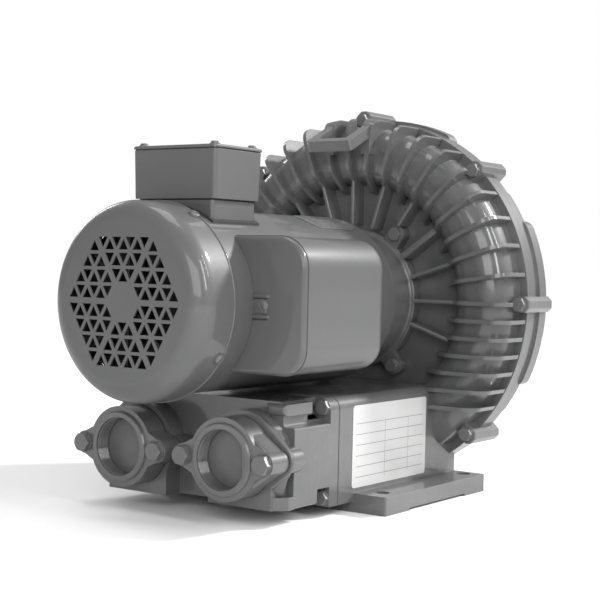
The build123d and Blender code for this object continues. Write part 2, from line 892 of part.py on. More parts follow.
def impeller():
    """Side-channel wheel: pockets on both faces of its rim, parted by radial vanes."""
    rim = turned(outline(
        (impeller_root_r - 8, impeller_front_y),
        (impeller_tip_r, impeller_front_y),
        (impeller_tip_r, impeller_back_y),
        (impeller_root_r - 8, impeller_back_y)))
    pocket_width = impeller_tip_r - impeller_root_r
    pocket_middle = (impeller_tip_r + impeller_root_r) / 2
    pockets = []
    for side, face_y in ((-1, impeller_front_y), (1, impeller_back_y)):
        deep_y = face_y - side * vane_pocket_r
        y0, y1 = sorted((face_y + side, deep_y))
        corners = [
            (pocket_middle - pocket_width / 2, y0), (pocket_middle + pocket_width / 2 + 1, y0),
            (pocket_middle + pocket_width / 2 + 1, y1), (pocket_middle - pocket_width / 2, y1)]
        deep = 0 if deep_y == y0 else 3
        corners[deep] = corners[deep] + (vane_pocket_r * 0.8,)
        pockets.append(turned(outline(*corners)))
    vanes = []
    reach = pocket_width + 6
    vane = Box(reach, 2 * impeller_half_thickness, vane_thickness)
    for i in range(vane_count):
        angle = i * 360 / vane_count
        x, z = around_shaft(angle, impeller_tip_r - reach / 2)
        vanes.append(Pos(x, split_y, z) * Rot(0, -angle, 0) * vane)
    trim = ring(impeller_tip_r, impeller_root_r - 6, impeller_front_y, impeller_back_y)
    wheel = rim - joined(pockets)
    wheel = joined([wheel] + [vane & trim for vane in vanes])
    disc = ring(impeller_root_r - 7, impeller_hub_r - 1,
                split_y - impeller_disc_half, split_y + impeller_disc_half)
    hub = drum(impeller_hub_r, hub_front_y, hub_back_y)
    wheel = joined([wheel, disc, hub])
    wheel -= drum(impeller_bore_r + running_clearance, hub_front_y - 1, hub_back_y + 1)
    return wheel - key_slot()


def key_slot():
    top_z = shaft_height + impeller_bore_r + key_height / 2 + running_clearance
    half = key_width / 2 + running_clearance
    return block(-half, half, hub_front_y - 1, hub_back_y + 1, shaft_height, top_z)


def impeller_key():
    base_z = shaft_height + impeller_bore_r - key_height / 2
    y0 = split_y - impeller_hub_front + 3
    return block(-key_width / 2, key_width / 2, y0, y0 + key_length, base_z, base_z + key_height)


def motor_shaft():
    steps = [
        (cowl_front_y + cowl_wall + fan_front_gap, fan_bearing_y, fan_bore_r),
        (fan_bearing_y, fan_bearing_y + bearing_width, bearing_bore_r),
        (fan_bearing_y + bearing_width, drive_bearing_y, rotor_bore_r),
        (drive_bearing_y, web_y + pilot_depth + seal_width + 1, bearing_bore_r),
        (web_y + pilot_depth + seal_width + 1, hub_back_y, impeller_bore_r)]
    shaft = joined([drum(r, y0, y1) for y0, y1, r in steps])
    base_z = shaft_height + impeller_bore_r - key_height / 2
    y0 = split_y - impeller_hub_front + 3
    shaft -= block(-key_width / 2, key_width / 2, y0, y0 + key_length, base_z, base_z + key_height)
    return shaft - drum(impeller_bolt_d / 2, hub_back_y - 2.5 * impeller_bolt_d, hub_back_y + 1)


def impeller_bolt():
    """Bolt and thick washer that hold the wheel on the end of the shaft."""
    washer_y = hub_back_y + impeller_washer_thickness
    washer = drum(impeller_washer_r, hub_back_y, washer_y)
    head = along_y(RegularPolygon(impeller_bolt_d * 0.9, 6), washer_y, washer_y + impeller_bolt_d * 0.6)
    shank = drum(impeller_bolt_d / 2, hub_back_y - 2 * impeller_bolt_d, washer_y)
    return joined([washer, head, shank])


def rotor_core():
    core_r = stator_bore_r - air_gap
    end_r = core_r - 8
    y0 = stator_y
    y1 = stator_y + stator_length
    core = drum(core_r, y0, y1) + drum(end_r, y0 - 10, y1 + 10)
    blades = []
    for i in range(8):
        angle = i * 45
        x, z = around_shaft(angle, end_r - 7)
        for blade_y in (y0 - 14, y1 + 14):
            blades.append(Pos(x, blade_y, z) * Rot(0, -angle, 0) * Box(12, 10, 4))
    core = joined([core] + blades)
    return core - drum(rotor_bore_r, y0 - 20, y1 + 20)


def cooling_fan():
    hub = drum(fan_hub_r, fan_front_y, fan_back_y)
    plate = drum(fan_r, fan_back_y - fan_plate_thickness, fan_back_y)
    blades = []
    reach = fan_r - fan_hub_r + 1
    for i in range(fan_blade_count):
        angle = i * 360 / fan_blade_count
        x, z = around_shaft(angle, fan_hub_r - 1 + reach / 2)
        blade = Box(reach, fan_blade_length + 0.5, fan_blade_thickness)
        blade_y = fan_front_y + (fan_blade_length + 0.5) / 2
        blades.append(Pos(x, blade_y, z) * Rot(0, -angle, 0) * blade)
    fan = joined([hub, plate] + blades)
    return fan - drum(fan_bore_r, fan_front_y - 1, fan_back_y + 1)


# Bearings and seal

def bearing_inner(front_y):
    face = outline(
        (bearing_bore_r, front_y), (ball_pitch_r - 3, front_y),
        (ball_pitch_r - 3, front_y + bearing_width), (bearing_bore_r, front_y + bearing_width))
    return turned(face - ball_groove(front_y))


def bearing_outer(front_y):
    face = outline(
        (ball_pitch_r + 3, front_y), (bearing_r, front_y),
        (bearing_r, front_y + bearing_width), (ball_pitch_r + 3, front_y + bearing_width))
    return turned(face - ball_groove(front_y))


def ball_groove(front_y):
    return Pos(ball_pitch_r, front_y + bearing_width / 2) * Circle(ball_r + ball_clearance)


def bearing_cage(front_y):
    """Balls and the cage that spaces them, which travel round together."""
    middle_y = front_y + bearing_width / 2
    cage = ring(ball_pitch_r + 1.8, ball_pitch_r - 1.8, middle_y - ball_r - 1, middle_y + ball_r + 1)
    balls = []
    for i in range(ball_count):
        x, z = around_shaft(i * 360 / ball_count, ball_pitch_r)
        turn = Rot(0, 90 - i * 360 / ball_count, 0)
        cage -= Pos(x, middle_y, z) * turn * Cylinder(ball_r + ball_clearance / 3, 4 * ball_r)
        balls.append(Pos(x, middle_y, z) * Sphere(ball_r))
    return cage, balls


def fan_bearing_inner():
    return bearing_inner(fan_bearing_y)


def fan_bearing_outer():
    return bearing_outer(fan_bearing_y)


def fan_bearing_cage():
    return bearing_cage(fan_bearing_y)[0]


def fan_bearing_balls():
    return Compound(children=bearing_cage(fan_bearing_y)[1])


def drive_bearing_inner():
    return bearing_inner(drive_bearing_y)


def drive_bearing_outer():
    return bearing_outer(drive_bearing_y)


def drive_bearing_cage():
    return bearing_cage(drive_bearing_y)[0]


def drive_bearing_balls():
    return Compound(children=bearing_cage(drive_bearing_y)[1])


def shaft_seal():
    front_y = web_y + pilot_depth + 0.5
    return ring(seal_r, bearing_bore_r + running_clearance, front_y, front_y + seal_width)


# Motor

def motor_frame():
    return ring(motor_r, frame_bore_r, frame_front_y, frame_back_y)


def drive_end_bell():
    """Cast end shield: spigot into the frame, taper, and the flange that meets the web."""
    seat_back_y = drive_bearing_y + bearing_width
    flange_front_y = web_y - motor_flange_thickness
    body = turned(outline(
        (frame_bore_r, frame_back_y - spigot_length),
        (frame_bore_r, frame_back_y),
        (motor_r, frame_back_y),
        (motor_r - 1, frame_back_y + 5, 3),
        (motor_flange_r - 5, frame_back_y + 16, 8),
        (motor_flange_r - 5, flange_front_y, 3),
        (motor_flange_r, flange_front_y, 2),
        (motor_flange_r, web_y),
        (pilot_r, web_y),
        (pilot_r, web_y + pilot_depth),
        (bearing_r - 8, web_y + pilot_depth),
        (bearing_r - 8, seat_back_y),
        (bearing_r, seat_back_y),
        (bearing_r, drive_bearing_y - 3),
        (bearing_r + 7, drive_bearing_y - 3, 3),
        (bearing_r + 8, flange_front_y + 1, 6),
        (motor_flange_r - 14, flange_front_y + 1, 6),
        (frame_bore_r - 7, frame_back_y + 8, 6),
        (frame_bore_r - 7, frame_back_y - spigot_length)))
    for angle in motor_bolt_angles:
        x, z = around_shaft(angle, motor_bolt_r)
        ear = drum(motor_ear_r, flange_front_y, web_y, x, z)
        inner_x, inner_z = around_shaft(angle, (motor_bolt_r + pilot_r) / 2 + 4)
        arm = Box(motor_bolt_r - pilot_r - 8, motor_flange_thickness, 2 * motor_ear_r)
        arm = Pos(inner_x, (flange_front_y + web_y) / 2, inner_z) * Rot(0, -angle, 0) * arm
        body = joined([body, ear, arm])
    for angle in motor_bolt_angles:
        x, z = around_shaft(angle, motor_bolt_r)
        body -= bolt_hole(motor_bolt_d, flange_front_y - 1, web_y + 1, x, z)
    for angle in through_bolt_angles:
        x, z = around_shaft(angle, through_bolt_r)
        body -= drum(through_bolt_d / 2, frame_back_y - spigot_length - 1, frame_back_y + 9, x, z)
    return body


def motor_mount_bolts():
    seat_y = web_y - motor_flange_thickness
    length = motor_flange_thickness + impeller_front_y - 3 - web_y
    bolts = []
    for angle in motor_bolt_angles:
        x, z = around_shaft(angle, motor_bolt_r)
        bolts.append(hex_bolt(motor_bolt_d, length, x, seat_y, z))
    return Compound(children=bolts)


def fan_end_bell():
    """End shield under the cowl, with the fan-end bearing and four pads for the cowl."""
    seat_back_y = fan_bearing_y + bearing_width
    body = turned(outline(
        (frame_bore_r, frame_front_y + spigot_length),
        (frame_bore_r, frame_front_y),
        (motor_r, frame_front_y),
        (motor_r, frame_front_y - 5, 3),
        (bearing_r + 16, frame_front_y - 9, 6),
        (bearing_r + 6, fan_bearing_y - 4, 3),
        (fan_bore_r + 3, fan_bearing_y - 4),
        (fan_bore_r + 3, fan_bearing_y - 1),
        (bearing_r, fan_bearing_y - 1),
        (bearing_r, seat_back_y),
        (bearing_r + 7, seat_back_y),
        (bearing_r + 9, frame_front_y - 3, 3),
        (frame_bore_r - 7, frame_front_y + 1, 4),
        (frame_bore_r - 7, frame_front_y + spigot_length)))
    inner_cowl_r = cowl_r - cowl_wall
    for angle in cowl_screw_angles:
        x, z = around_shaft(angle, motor_r - 4)
        pad = Box(2 * (inner_cowl_r - motor_r) + 10, 14, 12)
        pad = Pos(x, cowl_back_y - 3.5, z) * Rot(0, -angle, 0) * pad
        body += pad & drum(inner_cowl_r, cowl_back_y - 20, frame_front_y)
    for angle in cowl_screw_angles:
        body -= cowl_screw(angle, 0)
    for angle in through_bolt_angles:
        x, z = around_shaft(angle, through_bolt_r)
        body -= bolt_hole(through_bolt_d, frame_front_y - 12, frame_front_y + spigot_length + 1, x, z)
    return body


def cowl_screw(angle, head):
    """Radial screw through the cowl into its pad; head is its proud height."""
    length = cowl_wall + 9
    y = cowl_back_y - cowl_screw_inset
    x, z = around_shaft(angle, cowl_r - length / 2)
    turn = Rot(0, 90 - angle, 0)
    screw = Pos(x, y, z) * turn * Cylinder(cowl_screw_d / 2, length)
    if head:
        x, z = around_shaft(angle, cowl_r)
        cap = Pos(x, y, z) * turn * Cylinder(cowl_screw_d, 2 * head)
        screw += cap - drum(cowl_r, y - 2 * cowl_screw_d, y + 2 * cowl_screw_d)
    return screw


def cowl_screws():
    return Compound(children=[cowl_screw(angle, 3.2) for angle in cowl_screw_angles])


def through_bolts():
    """Long bolts that draw both end shields onto the frame."""
    seat_y = frame_front_y - 9
    bolts = []
    for angle in through_bolt_angles:
        x, z = around_shaft(angle, through_bolt_r)
        bolts.append(hex_bolt(through_bolt_d, frame_back_y + 8 - seat_y, x, seat_y, z))
    return Compound(children=bolts)


def stator_core():
    face = Circle(frame_bore_r) - Circle(stator_bore_r)
    for i in range(slot_count):
        angle = i * 360 / slot_count
        slot = Pos(stator_bore_r + 1.5 + slot_depth / 2, 0) * Rectangle(slot_depth, slot_width)
        mouth = Pos(stator_bore_r + 1.5, 0) * Rectangle(5, 2.6)
        face -= Rot(0, 0, angle) * (slot + mouth)
    for angle in through_bolt_angles:
        notch = Pos(through_bolt_r + 3, 0) * Rectangle(16, through_bolt_d + 3)
        face -= Rot(0, 0, angle) * notch
    return along_y(face, stator_y, stator_y + stator_length)


def stator_windings():
    """Wound coils: a bar in each slot and a bound overhang at both ends."""
    bar_width = slot_width - 2 * winding_clearance
    bar_depth = slot_depth - 2 * winding_clearance
    face = Sketch() + [
        Rot(0, 0, i * 360 / slot_count) * Pos(stator_bore_r + 1.5 + slot_depth / 2, 0)
        * Rectangle(bar_depth, bar_width)
        for i in range(slot_count)]
    end_gap = 3.0
    y0 = stator_y - end_gap
    y1 = stator_y + stator_length + end_gap
    bars = along_y(face, y0 - 1, y1 + 1)
    inner_r = stator_bore_r + 1.5 + winding_clearance
    outer_r = inner_r + bar_depth
    rings = []
    for a, b in ((y0 - winding_overhang, y0), (y1, y1 + winding_overhang)):
        corners = [(inner_r, a, 5), (outer_r, a, 5), (outer_r, b, 5), (inner_r, b, 5)]
        rings.append(turned(outline(*corners)))
    return joined([bars] + rings)


def fan_cowl():
    """Pressed cup over the fan, open behind, with a hexagon of triangular vents."""
    back_y = cowl_back_y
    body = turned(outline(
        (0, cowl_front_y),
        (cowl_r, cowl_front_y, cowl_front_r),
        (cowl_r, back_y),
        (cowl_r - cowl_wall, back_y),
        (cowl_r - cowl_wall, cowl_front_y + cowl_wall, cowl_front_r - cowl_wall),
        (0, cowl_front_y + cowl_wall)))
    body -= along_y(vent_face(), cowl_front_y - 1, cowl_front_y + cowl_wall + 1)
    for angle in cowl_screw_angles:
        y = back_y - cowl_screw_inset
        x, z = around_shaft(angle, cowl_r)
        body -= Pos(x, y, z) * Rot(0, 90 - angle, 0) * Cylinder(cowl_screw_d / 2 + 0.1, 8)
    return body


def vent_face():
    """Triangles in six sectors; the innermost row of each sector stays solid."""
    row_height = vent_pitch * sqrt(3) / 2
    corner_r = vent_side / sqrt(3)
    holes = []
    for sector in range(6):
        middle = 30 + 60 * sector
        for row in range(2, vent_rows + 1):
            near = (row - 1) * row_height + vent_sector_shift
            for i in range(row):
                spot = Pos(near + row_height * 2 / 3, (i - (row - 1) / 2) * vent_pitch)
                hole = spot * RegularPolygon(corner_r, 3, rotation=180)
                holes.append(Rot(0, 0, middle) * hole)
            for i in range(row - 1):
                spot = Pos(near + row_height / 3, (i - (row - 2) / 2) * vent_pitch)
                hole = spot * RegularPolygon(corner_r, 3)
                holes.append(Rot(0, 0, middle) * hole)
    return Sketch() + holes


# Capacitor cover

def capacitor_blank(inset):
    """Outer form of the cover, or the space inside it when inset by the wall."""
    top = capacitor_cover_top - inset
    bottom = capacitor_cover_bottom + inset
    right = capacitor_cover_x - inset
    corner_r = capacitor_cover_corner_r - inset
    low_r = capacitor_cover_low_r - inset
    inner_x = frame_bore_r * 0.5
    face = outline((inner_x, bottom), (right, bottom, low_r), (right, top, corner_r), (inner_x, top))
    front_y = capacitor_cover_front_y + inset
    back_y = capacitor_cover_front_y + capacitor_cover_length - inset
    blank = along_y(face, front_y, back_y)
    outer = [edge for edge in blank.edges().group_by(Axis.Y)[-1] if edge.bounding_box().max.X > inner_x + 1]
    blank = fillet(outer, capacitor_cover_end_r - inset)
    outer = [edge for edge in blank.edges().group_by(Axis.Y)[0] if edge.bounding_box().max.X > inner_x + 1]
    return fillet(outer, capacitor_cover_edge_r - inset)


def capacitor_cover():
    body = capacitor_blank(0) - capacitor_blank(capacitor_cover_wall)
    body -= drum(motor_r, frame_front_y - 20, frame_back_y)
    front_y = capacitor_cover_front_y
    screw = drum(clip_screw_d / 2 + 0.1, front_y - 5, front_y + 5, clip_screw_x)
    return body - screw


def capacitor_cover_screw():
    """Screw on the front of the cover, into the lug of its cradle."""
    y = capacitor_cover_front_y
    head = drum(clip_screw_d * 0.9, y - 2.6, y, clip_screw_x)
    shank = drum(clip_screw_d / 2, y - 1, y + 12, clip_screw_x)
    return joined([head, shank])


def capacitor_bracket():
    """Cradle under both capacitors, with a lug at the front for the cover's screw."""
    y0 = capacitor_cover_front_y + capacitor_cover_wall
    middle_y = y0 + capacitor_gap + capacitor_length / 2
    saddle = block(
        motor_r * 0.7, capacitor_offset_x - 4, middle_y - cradle_width / 2, middle_y + cradle_width / 2,
        shaft_height - capacitor_offset_z - 14, shaft_height + capacitor_offset_z + 14)
    lug = block(motor_r * 0.9, clip_screw_x + 7, y0, y0 + 9, shaft_height - 7, shaft_height + 7)
    strap = block(motor_r * 0.9, motor_r + 6, y0 + 8, middle_y, shaft_height - 6, shaft_height + 6)
    body = joined([saddle, lug, strap]) - drum(motor_r, y0 - 1, middle_y + cradle_width)
    for capacitor in (start_capacitor(), run_capacitor()):
        body -= capacitor
    return body - drum(clip_screw_d / 2, y0 - 1, y0 + 14, clip_screw_x)


def capacitor(z):
    y0 = capacitor_cover_front_y + capacitor_cover_wall + capacitor_gap
    can = drum(capacitor_r, y0, y0 + capacitor_length, capacitor_offset_x, z)
    return can


def start_capacitor():
    return capacitor(shaft_height + capacitor_offset_z)


def run_capacitor():
    return capacitor(shaft_height - capacitor_offset_z)


# Conduit riser, box and lid

def riser_gasket():
    lip = riser_gasket_lip
    half = riser_half_width + lip
    y0 = riser_front_y - lip
    y1 = riser_front_y + riser_length + lip
    blank = block(-half, half, y0, y1, shaft_height, shaft_height + motor_r + riser_gasket_thickness)
    shell = drum(motor_r + riser_gasket_thickness, y0 - 1, y1 + 1) - drum(motor_r, y0 - 1, y1 + 1)
    plate = blank & shell
    inner = riser_half_width - riser_wall
    return plate - block(
        -inner, inner, riser_front_y + riser_wall, riser_front_y + riser_length - riser_wall,
        shaft_height, shaft_height + 2 * motor_r)


def conduit_riser():
    y1 = riser_front_y + riser_length
    top_z = conduit_bottom_z - conduit_gasket_thickness
    body = block(-riser_half_width, riser_half_width, riser_front_y, y1, shaft_height + motor_r / 2, top_z)
    body = fillet(body.edges().filter_by(Axis.Z), 4)
    body -= drum(motor_r + riser_gasket_thickness, riser_front_y - 1, y1 + 1)
    inner = riser_half_width - riser_wall
    return body - block(
        -inner, inner, riser_front_y + riser_wall, y1 - riser_wall, shaft_height, top_z + 1)


def conduit_gasket():
    y1 = riser_front_y + riser_length
    z0 = conduit_bottom_z - conduit_gasket_thickness
    inner = riser_half_width - riser_wall
    reach = riser_half_width - 1
    plate = block(-reach, reach, riser_front_y + 1, y1 - 1, z0, conduit_bottom_z)
    front_y = riser_front_y + riser_wall
    return plate - block(-inner, inner, front_y, y1 - riser_wall, z0 - 1, conduit_bottom_z + 1)


def conduit_section(z, inset):
    """Rounded outline of the drafted box at height z."""
    draft = conduit_draft * (conduit_bottom_z + conduit_height - z) / conduit_height
    width = 2 * (conduit_half_width - draft / 2 - inset)
    length = conduit_length - draft - 2 * inset
    middle_y = conduit_front_y + conduit_length / 2
    return Pos(0, middle_y, z) * RectangleRounded(width, length, conduit_corner_r - inset / 2)


def conduit_box():
    top_z = conduit_bottom_z + conduit_height
    body = loft([conduit_section(conduit_bottom_z, 0), conduit_section(top_z, 0)])
    floor_z = conduit_bottom_z + conduit_wall
    body -= loft([conduit_section(floor_z, conduit_wall), conduit_section(top_z + 1, conduit_wall)])
    inner = riser_half_width - riser_wall - 6
    y0 = riser_front_y + riser_wall + 6
    y1 = riser_front_y + riser_length - riser_wall - 6
    body -= block(-inner, inner, y0, y1, conduit_bottom_z - 1, floor_z + 1)
    boss_depth = conduit_height - conduit_wall
    for x, y in lid_screw_places():
        post = Pos(x, y, top_z - boss_depth / 2) * Box(10, 10, boss_depth)
        body += post & loft([conduit_section(conduit_bottom_z, 1), conduit_section(top_z, 1)])
        body -= Pos(x, y, top_z - 8) * Cylinder(lid_screw_d / 2, 17)
    entry_z = conduit_bottom_z + conduit_entry_z
    entry_y = conduit_front_y + conduit_length / 2
    entry = Pos(-conduit_half_width, entry_y, entry_z) * Rot(0, 90, 0)
    return body - entry * Cylinder(conduit_entry_r, 4 * conduit_wall)


def lid_screw_places():
    places = []
    for x in (-1, 1):
        for y in (-1, 1):
            reach_x = conduit_half_width - lid_screw_inset
            reach_y = conduit_length / 2 - lid_screw_inset
            places.append((x * reach_x, conduit_front_y + conduit_length / 2 + y * reach_y))
    return places


def lid_gasket():
    top_z = conduit_bottom_z + conduit_height
    face = conduit_section(top_z, 0.5) - conduit_section(top_z, conduit_wall)
    for x, y in lid_screw_places():
        face += (Pos(x, y, top_z) * Rectangle(10, 10)) & conduit_section(top_z, 0.5)
        face -= Pos(x, y, top_z) * Circle(lid_screw_d / 2 + wall_clearance)
    return extrude(face, lid_gasket_thickness)


def conduit_lid():
    """Cast lid, slightly crowned, with its edge just proud of the box."""
    base_z = conduit_bottom_z + conduit_height + lid_gasket_thickness
    face = Pos(0, 0, base_z - conduit_bottom_z - conduit_height) * conduit_section(
        conduit_bottom_z + conduit_height, -0.8)
    lid = extrude(face, lid_thickness)
    lid = fillet(lid.edges().group_by(Axis.Z)[-1], lid_thickness * 0.6)
    for x, y in lid_screw_places():
        lid -= Pos(x, y, base_z) * Cylinder(lid_screw_d / 2 + wall_clearance, 4 * lid_thickness)
    return lid


def lid_screws():
    base_z = conduit_bottom_z + conduit_height + lid_gasket_thickness + lid_thickness
    screws = []
    for x, y in lid_screw_places():
        head = Pos(x, y, base_z + 1.3) * Cylinder(lid_screw_d * 0.9, 2.6)
        washer = Pos(x, y, base_z + 0.3) * Cylinder(lid_screw_d * 1.15, 0.6)
        length = lid_thickness + lid_gasket_thickness + 10
        shank = Pos(x, y, base_z - length / 2 + 0.5) * Cylinder(lid_screw_d / 2, length + 1)
        screws.append(joined([head, washer, shank]))
    return Compound(children=screws)


def terminal_block():
    """Insulating block with four studs, on the floor of the conduit box."""
    z0 = conduit_bottom_z + conduit_wall
    back_y = conduit_front_y + conduit_length - conduit_wall - 10
    base = block(-28, 28, back_y - 16, back_y, z0, z0 + 10)
    studs = [Pos(x, back_y - 8, z0 + 13) * Cylinder(2.5, 8) for x in (-19.5, -6.5, 6.5, 19.5)]
    return joined([base] + studs)


def motor_nameplate():
    """Blank plate rolled to the frame, its ends rounded."""
    back_y = nameplate_front_y + nameplate_length
    arc_length = 2 * motor_r * radians(nameplate_half_angle)
    face = RectangleRounded(nameplate_length, arc_length, nameplate_corner_r)
    plane = Plane(
        origin=(0, (nameplate_front_y + back_y) / 2, shaft_height), x_dir=(0, 1, 0), z_dir=(1, 0, 0))
    cutter = extrude(plane * face, 2 * motor_r).rotate(shaft_axis, nameplate_angle)
    sheet = ring(motor_r + nameplate_thickness, motor_r, nameplate_front_y - 1, back_y + 1)
    return sheet & cutter


makers = (
    blower_housing, blower_cover, rim_bolts, lifting_loop,
    port_manifold, manifold_gasket, manifold_bolts,
    inlet_flange, outlet_flange, inlet_gasket, outlet_gasket, port_flange_bolts,
    inlet_plug, outlet_plug, inlet_muffler, outlet_muffler, rating_label,
    impeller, impeller_key, impeller_bolt, motor_shaft, rotor_core, cooling_fan,
    fan_bearing_inner, fan_bearing_outer, fan_bearing_cage, fan_bearing_balls,
    drive_bearing_inner, drive_bearing_outer, drive_bearing_cage, drive_bearing_balls,
    shaft_seal, motor_frame, drive_end_bell, motor_mount_bolts, fan_end_bell,
    through_bolts, stator_core, stator_windings, fan_cowl, cowl_screws,
    capacitor_cover, capacitor_cover_screw, capacitor_bracket, start_capacitor, run_capacitor,
    riser_gasket, conduit_riser, conduit_gasket, conduit_box, lid_gasket, conduit_lid,
    lid_screws, terminal_block, motor_nameplate)

os.makedirs("parts", exist_ok=True)
for make in makers:
    export_step(make(), f"parts/{make.__name__}.step")
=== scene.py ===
import json
import math
import bmesh
import bpy
from mathutils import Matrix, Vector


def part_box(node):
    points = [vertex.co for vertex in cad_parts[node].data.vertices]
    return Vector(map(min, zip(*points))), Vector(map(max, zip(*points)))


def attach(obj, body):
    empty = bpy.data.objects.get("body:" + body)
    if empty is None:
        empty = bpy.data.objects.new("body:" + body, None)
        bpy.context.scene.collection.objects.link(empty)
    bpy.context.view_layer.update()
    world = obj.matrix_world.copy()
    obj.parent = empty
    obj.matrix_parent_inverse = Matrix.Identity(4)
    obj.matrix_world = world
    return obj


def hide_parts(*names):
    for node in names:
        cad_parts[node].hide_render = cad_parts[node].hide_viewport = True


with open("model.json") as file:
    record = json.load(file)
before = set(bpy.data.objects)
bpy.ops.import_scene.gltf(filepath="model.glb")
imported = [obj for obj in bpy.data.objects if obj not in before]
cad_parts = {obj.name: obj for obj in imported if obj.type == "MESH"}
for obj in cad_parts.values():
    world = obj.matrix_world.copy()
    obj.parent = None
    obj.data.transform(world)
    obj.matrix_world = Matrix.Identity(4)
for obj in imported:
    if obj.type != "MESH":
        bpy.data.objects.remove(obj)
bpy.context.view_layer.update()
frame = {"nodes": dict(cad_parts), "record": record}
nodes = frame["nodes"]
print("frame loaded:", len(nodes), "nodes")

shaftHeight = 0.2025  # metres, as everything below; the shaft runs along y above the origin
frameRadius = 0.0865  # outside of the motor's rolled frame
cowlRadius = 0.0914  # outside of the fan cowl
touching = 1e-5  # places closer than this are one place


class Wire:
    # one output socket that takes part in Python arithmetic
    def __init__(self, shader, socket):
        self.shader = shader
        self.socket = socket

    def maths(self, operation, *values):
        return self.shader.node("ShaderNodeMath", {"operation": operation}, dict(enumerate(values)))

    def __add__(self, other):
        return self.maths("ADD", self, other)

    def __radd__(self, other):
        return self.maths("ADD", other, self)

    def __sub__(self, other):
        return self.maths("SUBTRACT", self, other)

    def __rsub__(self, other):
        return self.maths("SUBTRACT", other, self)

    def __mul__(self, other):
        return self.maths("MULTIPLY", self, other)

    def __rmul__(self, other):
        return self.maths("MULTIPLY", other, self)

    def __gt__(self, other):
        return self.maths("GREATER_THAN", self, other)

    def __lt__(self, other):
        return self.maths("LESS_THAN", self, other)

    def clipped(self, low, high):
        # 0 at low, 1 at high
        limits = {"Value": self, "From Min": low, "From Max": high}
        return self.shader.node("ShaderNodeMapRange", {"clamp": True}, limits)


class Shader:
    # a node material, built from expressions
    def __init__(self, name):
        self.material = bpy.data.materials.new(name)
        self.material.use_nodes = True
        self.tree = self.material.node_tree
        self.tree.nodes.clear()
        self.place = self.node("ShaderNodeTexCoord", {}, {}, "Object")

    def node(self, kind, settings, values, output=0):
        made = self.tree.nodes.new(kind)
        for key, value in settings.items():
            setattr(made, key, value)
        for key, value in values.items():
            if isinstance(value, Wire):
                self.tree.links.new(value.socket, made.inputs[key])
            else:
                made.inputs[key].default_value = value
        return Wire(self, made.outputs[output])

    def noise(self, scale, detail=3.0, roughness=0.55, at=None):
        return self.node("ShaderNodeTexNoise", {"normalize": True}, {
            "Vector": at or self.place, "Scale": scale, "Detail": detail, "Roughness": roughness})

    def cells(self, scale):
        return self.node("ShaderNodeTexVoronoi", {}, {"Vector": self.place, "Scale": scale}, "Distance")

    def stretched(self, x, y, z):
        return self.node("ShaderNodeMapping", {}, {"Vector": self.place, "Scale": (x, y, z)})

    def axis(self, letter):
        return self.node("ShaderNodeSeparateXYZ", {}, {0: self.place}, letter)

    def mix(self, factor, first, second):
        # the unnamed sockets of a colour mix: factor, first and second colour, result
        return self.node(
            "ShaderNodeMix", {"data_type": "RGBA", "clamp_factor": True},
            {0: factor, 6: first, 7: second}, 2)

    def softEdges(self, radius):
        return self.node("ShaderNodeBevel", {"samples": 4}, {"Radius": radius})

    def edgeMask(self, radius):
        # 1 along outer and inner corners, 0 on open faces
        rounded = self.softEdges(radius)
        straight = self.node("ShaderNodeNewGeometry", {}, {}, "Normal")
        dot = self.node(
            "ShaderNodeVectorMath", {"operation": "DOT_PRODUCT"}, {0: rounded, 1: straight}, "Value")
        return (1 - dot).clipped(0.06, 0.3)

    def bump(self, height, distance, strength=1.0, normal=None):
        values = {"Height": height, "Distance": distance, "Strength": strength}
        if normal:
            values["Normal"] = normal
        return self.node("ShaderNodeBump", {}, values)

    def finish(self, colour, roughness, normal, **fixed):
        # fixed values go to the sockets of the same name, such as Coat_Weight
        values = {"Base Color": colour, "Roughness": roughness, "Normal": normal}
        values.update({key.replace("_", " "): value for key, value in fixed.items()})
        surface = self.node("ShaderNodeBsdfPrincipled", {}, values)
        output = self.tree.nodes.new("ShaderNodeOutputMaterial")
        self.tree.links.new(surface.socket, output.inputs["Surface"])
        return self.material


def shade(level, warmth=0.0):
    # a near-neutral colour from one level
    return (level * (1 + warmth), level, level * (1 - warmth), 1)


castEnamelLook = {
    "paint": 0.094, "paintDeep": 0.074, "thinPaintAndHighlight": 0.15, "edgeRound": 0.0015,
    "mottleScale": 9.0, "edgeWearAndHighlightScale": 70.0, "edgeWearAndHighlight": 0.75,
    "grainScale": 420.0, "grain": 0.5, "pitScale": 160.0, "pits": 0.12, "lumpScale": 190.0, "lumps": 0.9,
    "grainDepth": 0.00028, "gloss": 0.46, "glossGrain": 0.16, "glossTone": 0.08,
    "coat": 0.75, "coatRoughness": 0.12, "specular": 0.3}


def castEnamel(name="castEnamel", look=castEnamelLook):
    # thick glossy enamel that still shows the sand of the casting
    s = Shader(name)
    mottle = s.noise(look["mottleScale"], 4.0)
    drift = s.noise(look["mottleScale"] * 6, 3.0)
    tone = (mottle * 0.7 + drift * 0.3).clipped(0.34, 0.66)
    paint = s.mix(tone, shade(look["paintDeep"], -0.01), shade(look["paint"]))
    # edges and corners lightened towards a pale paint: partly enamel worn thin, partly a painted highlight
    # along rib tops and edges
    edge = s.edgeMask(look["edgeRound"])
    wornAndHighlitEdge = edge * s.noise(look["edgeWearAndHighlightScale"], 3.0).clipped(0.35, 0.7)
    paint = s.mix(wornAndHighlitEdge * look["edgeWearAndHighlight"], paint, shade(look["thinPaintAndHighlight"]))
    grain = s.noise(look["grainScale"], 4.0, 0.6)
    pits = s.cells(look["pitScale"]).clipped(0.0, 0.35)
    lumps = s.noise(look["lumpScale"], 3.0)
    height = grain * look["grain"] + pits * look["pits"] + lumps * look["lumps"]
    normal = s.bump(height, look["grainDepth"], 0.9, s.softEdges(look["edgeRound"]))
    roughness = look["gloss"] + (grain - 0.5) * look["glossGrain"] + (1 - tone) * look["glossTone"]
    return s.finish(
        paint, roughness, normal, Coat_Weight=look["coat"], Coat_Roughness=look["coatRoughness"],
        Specular_IOR_Level=look["specular"])


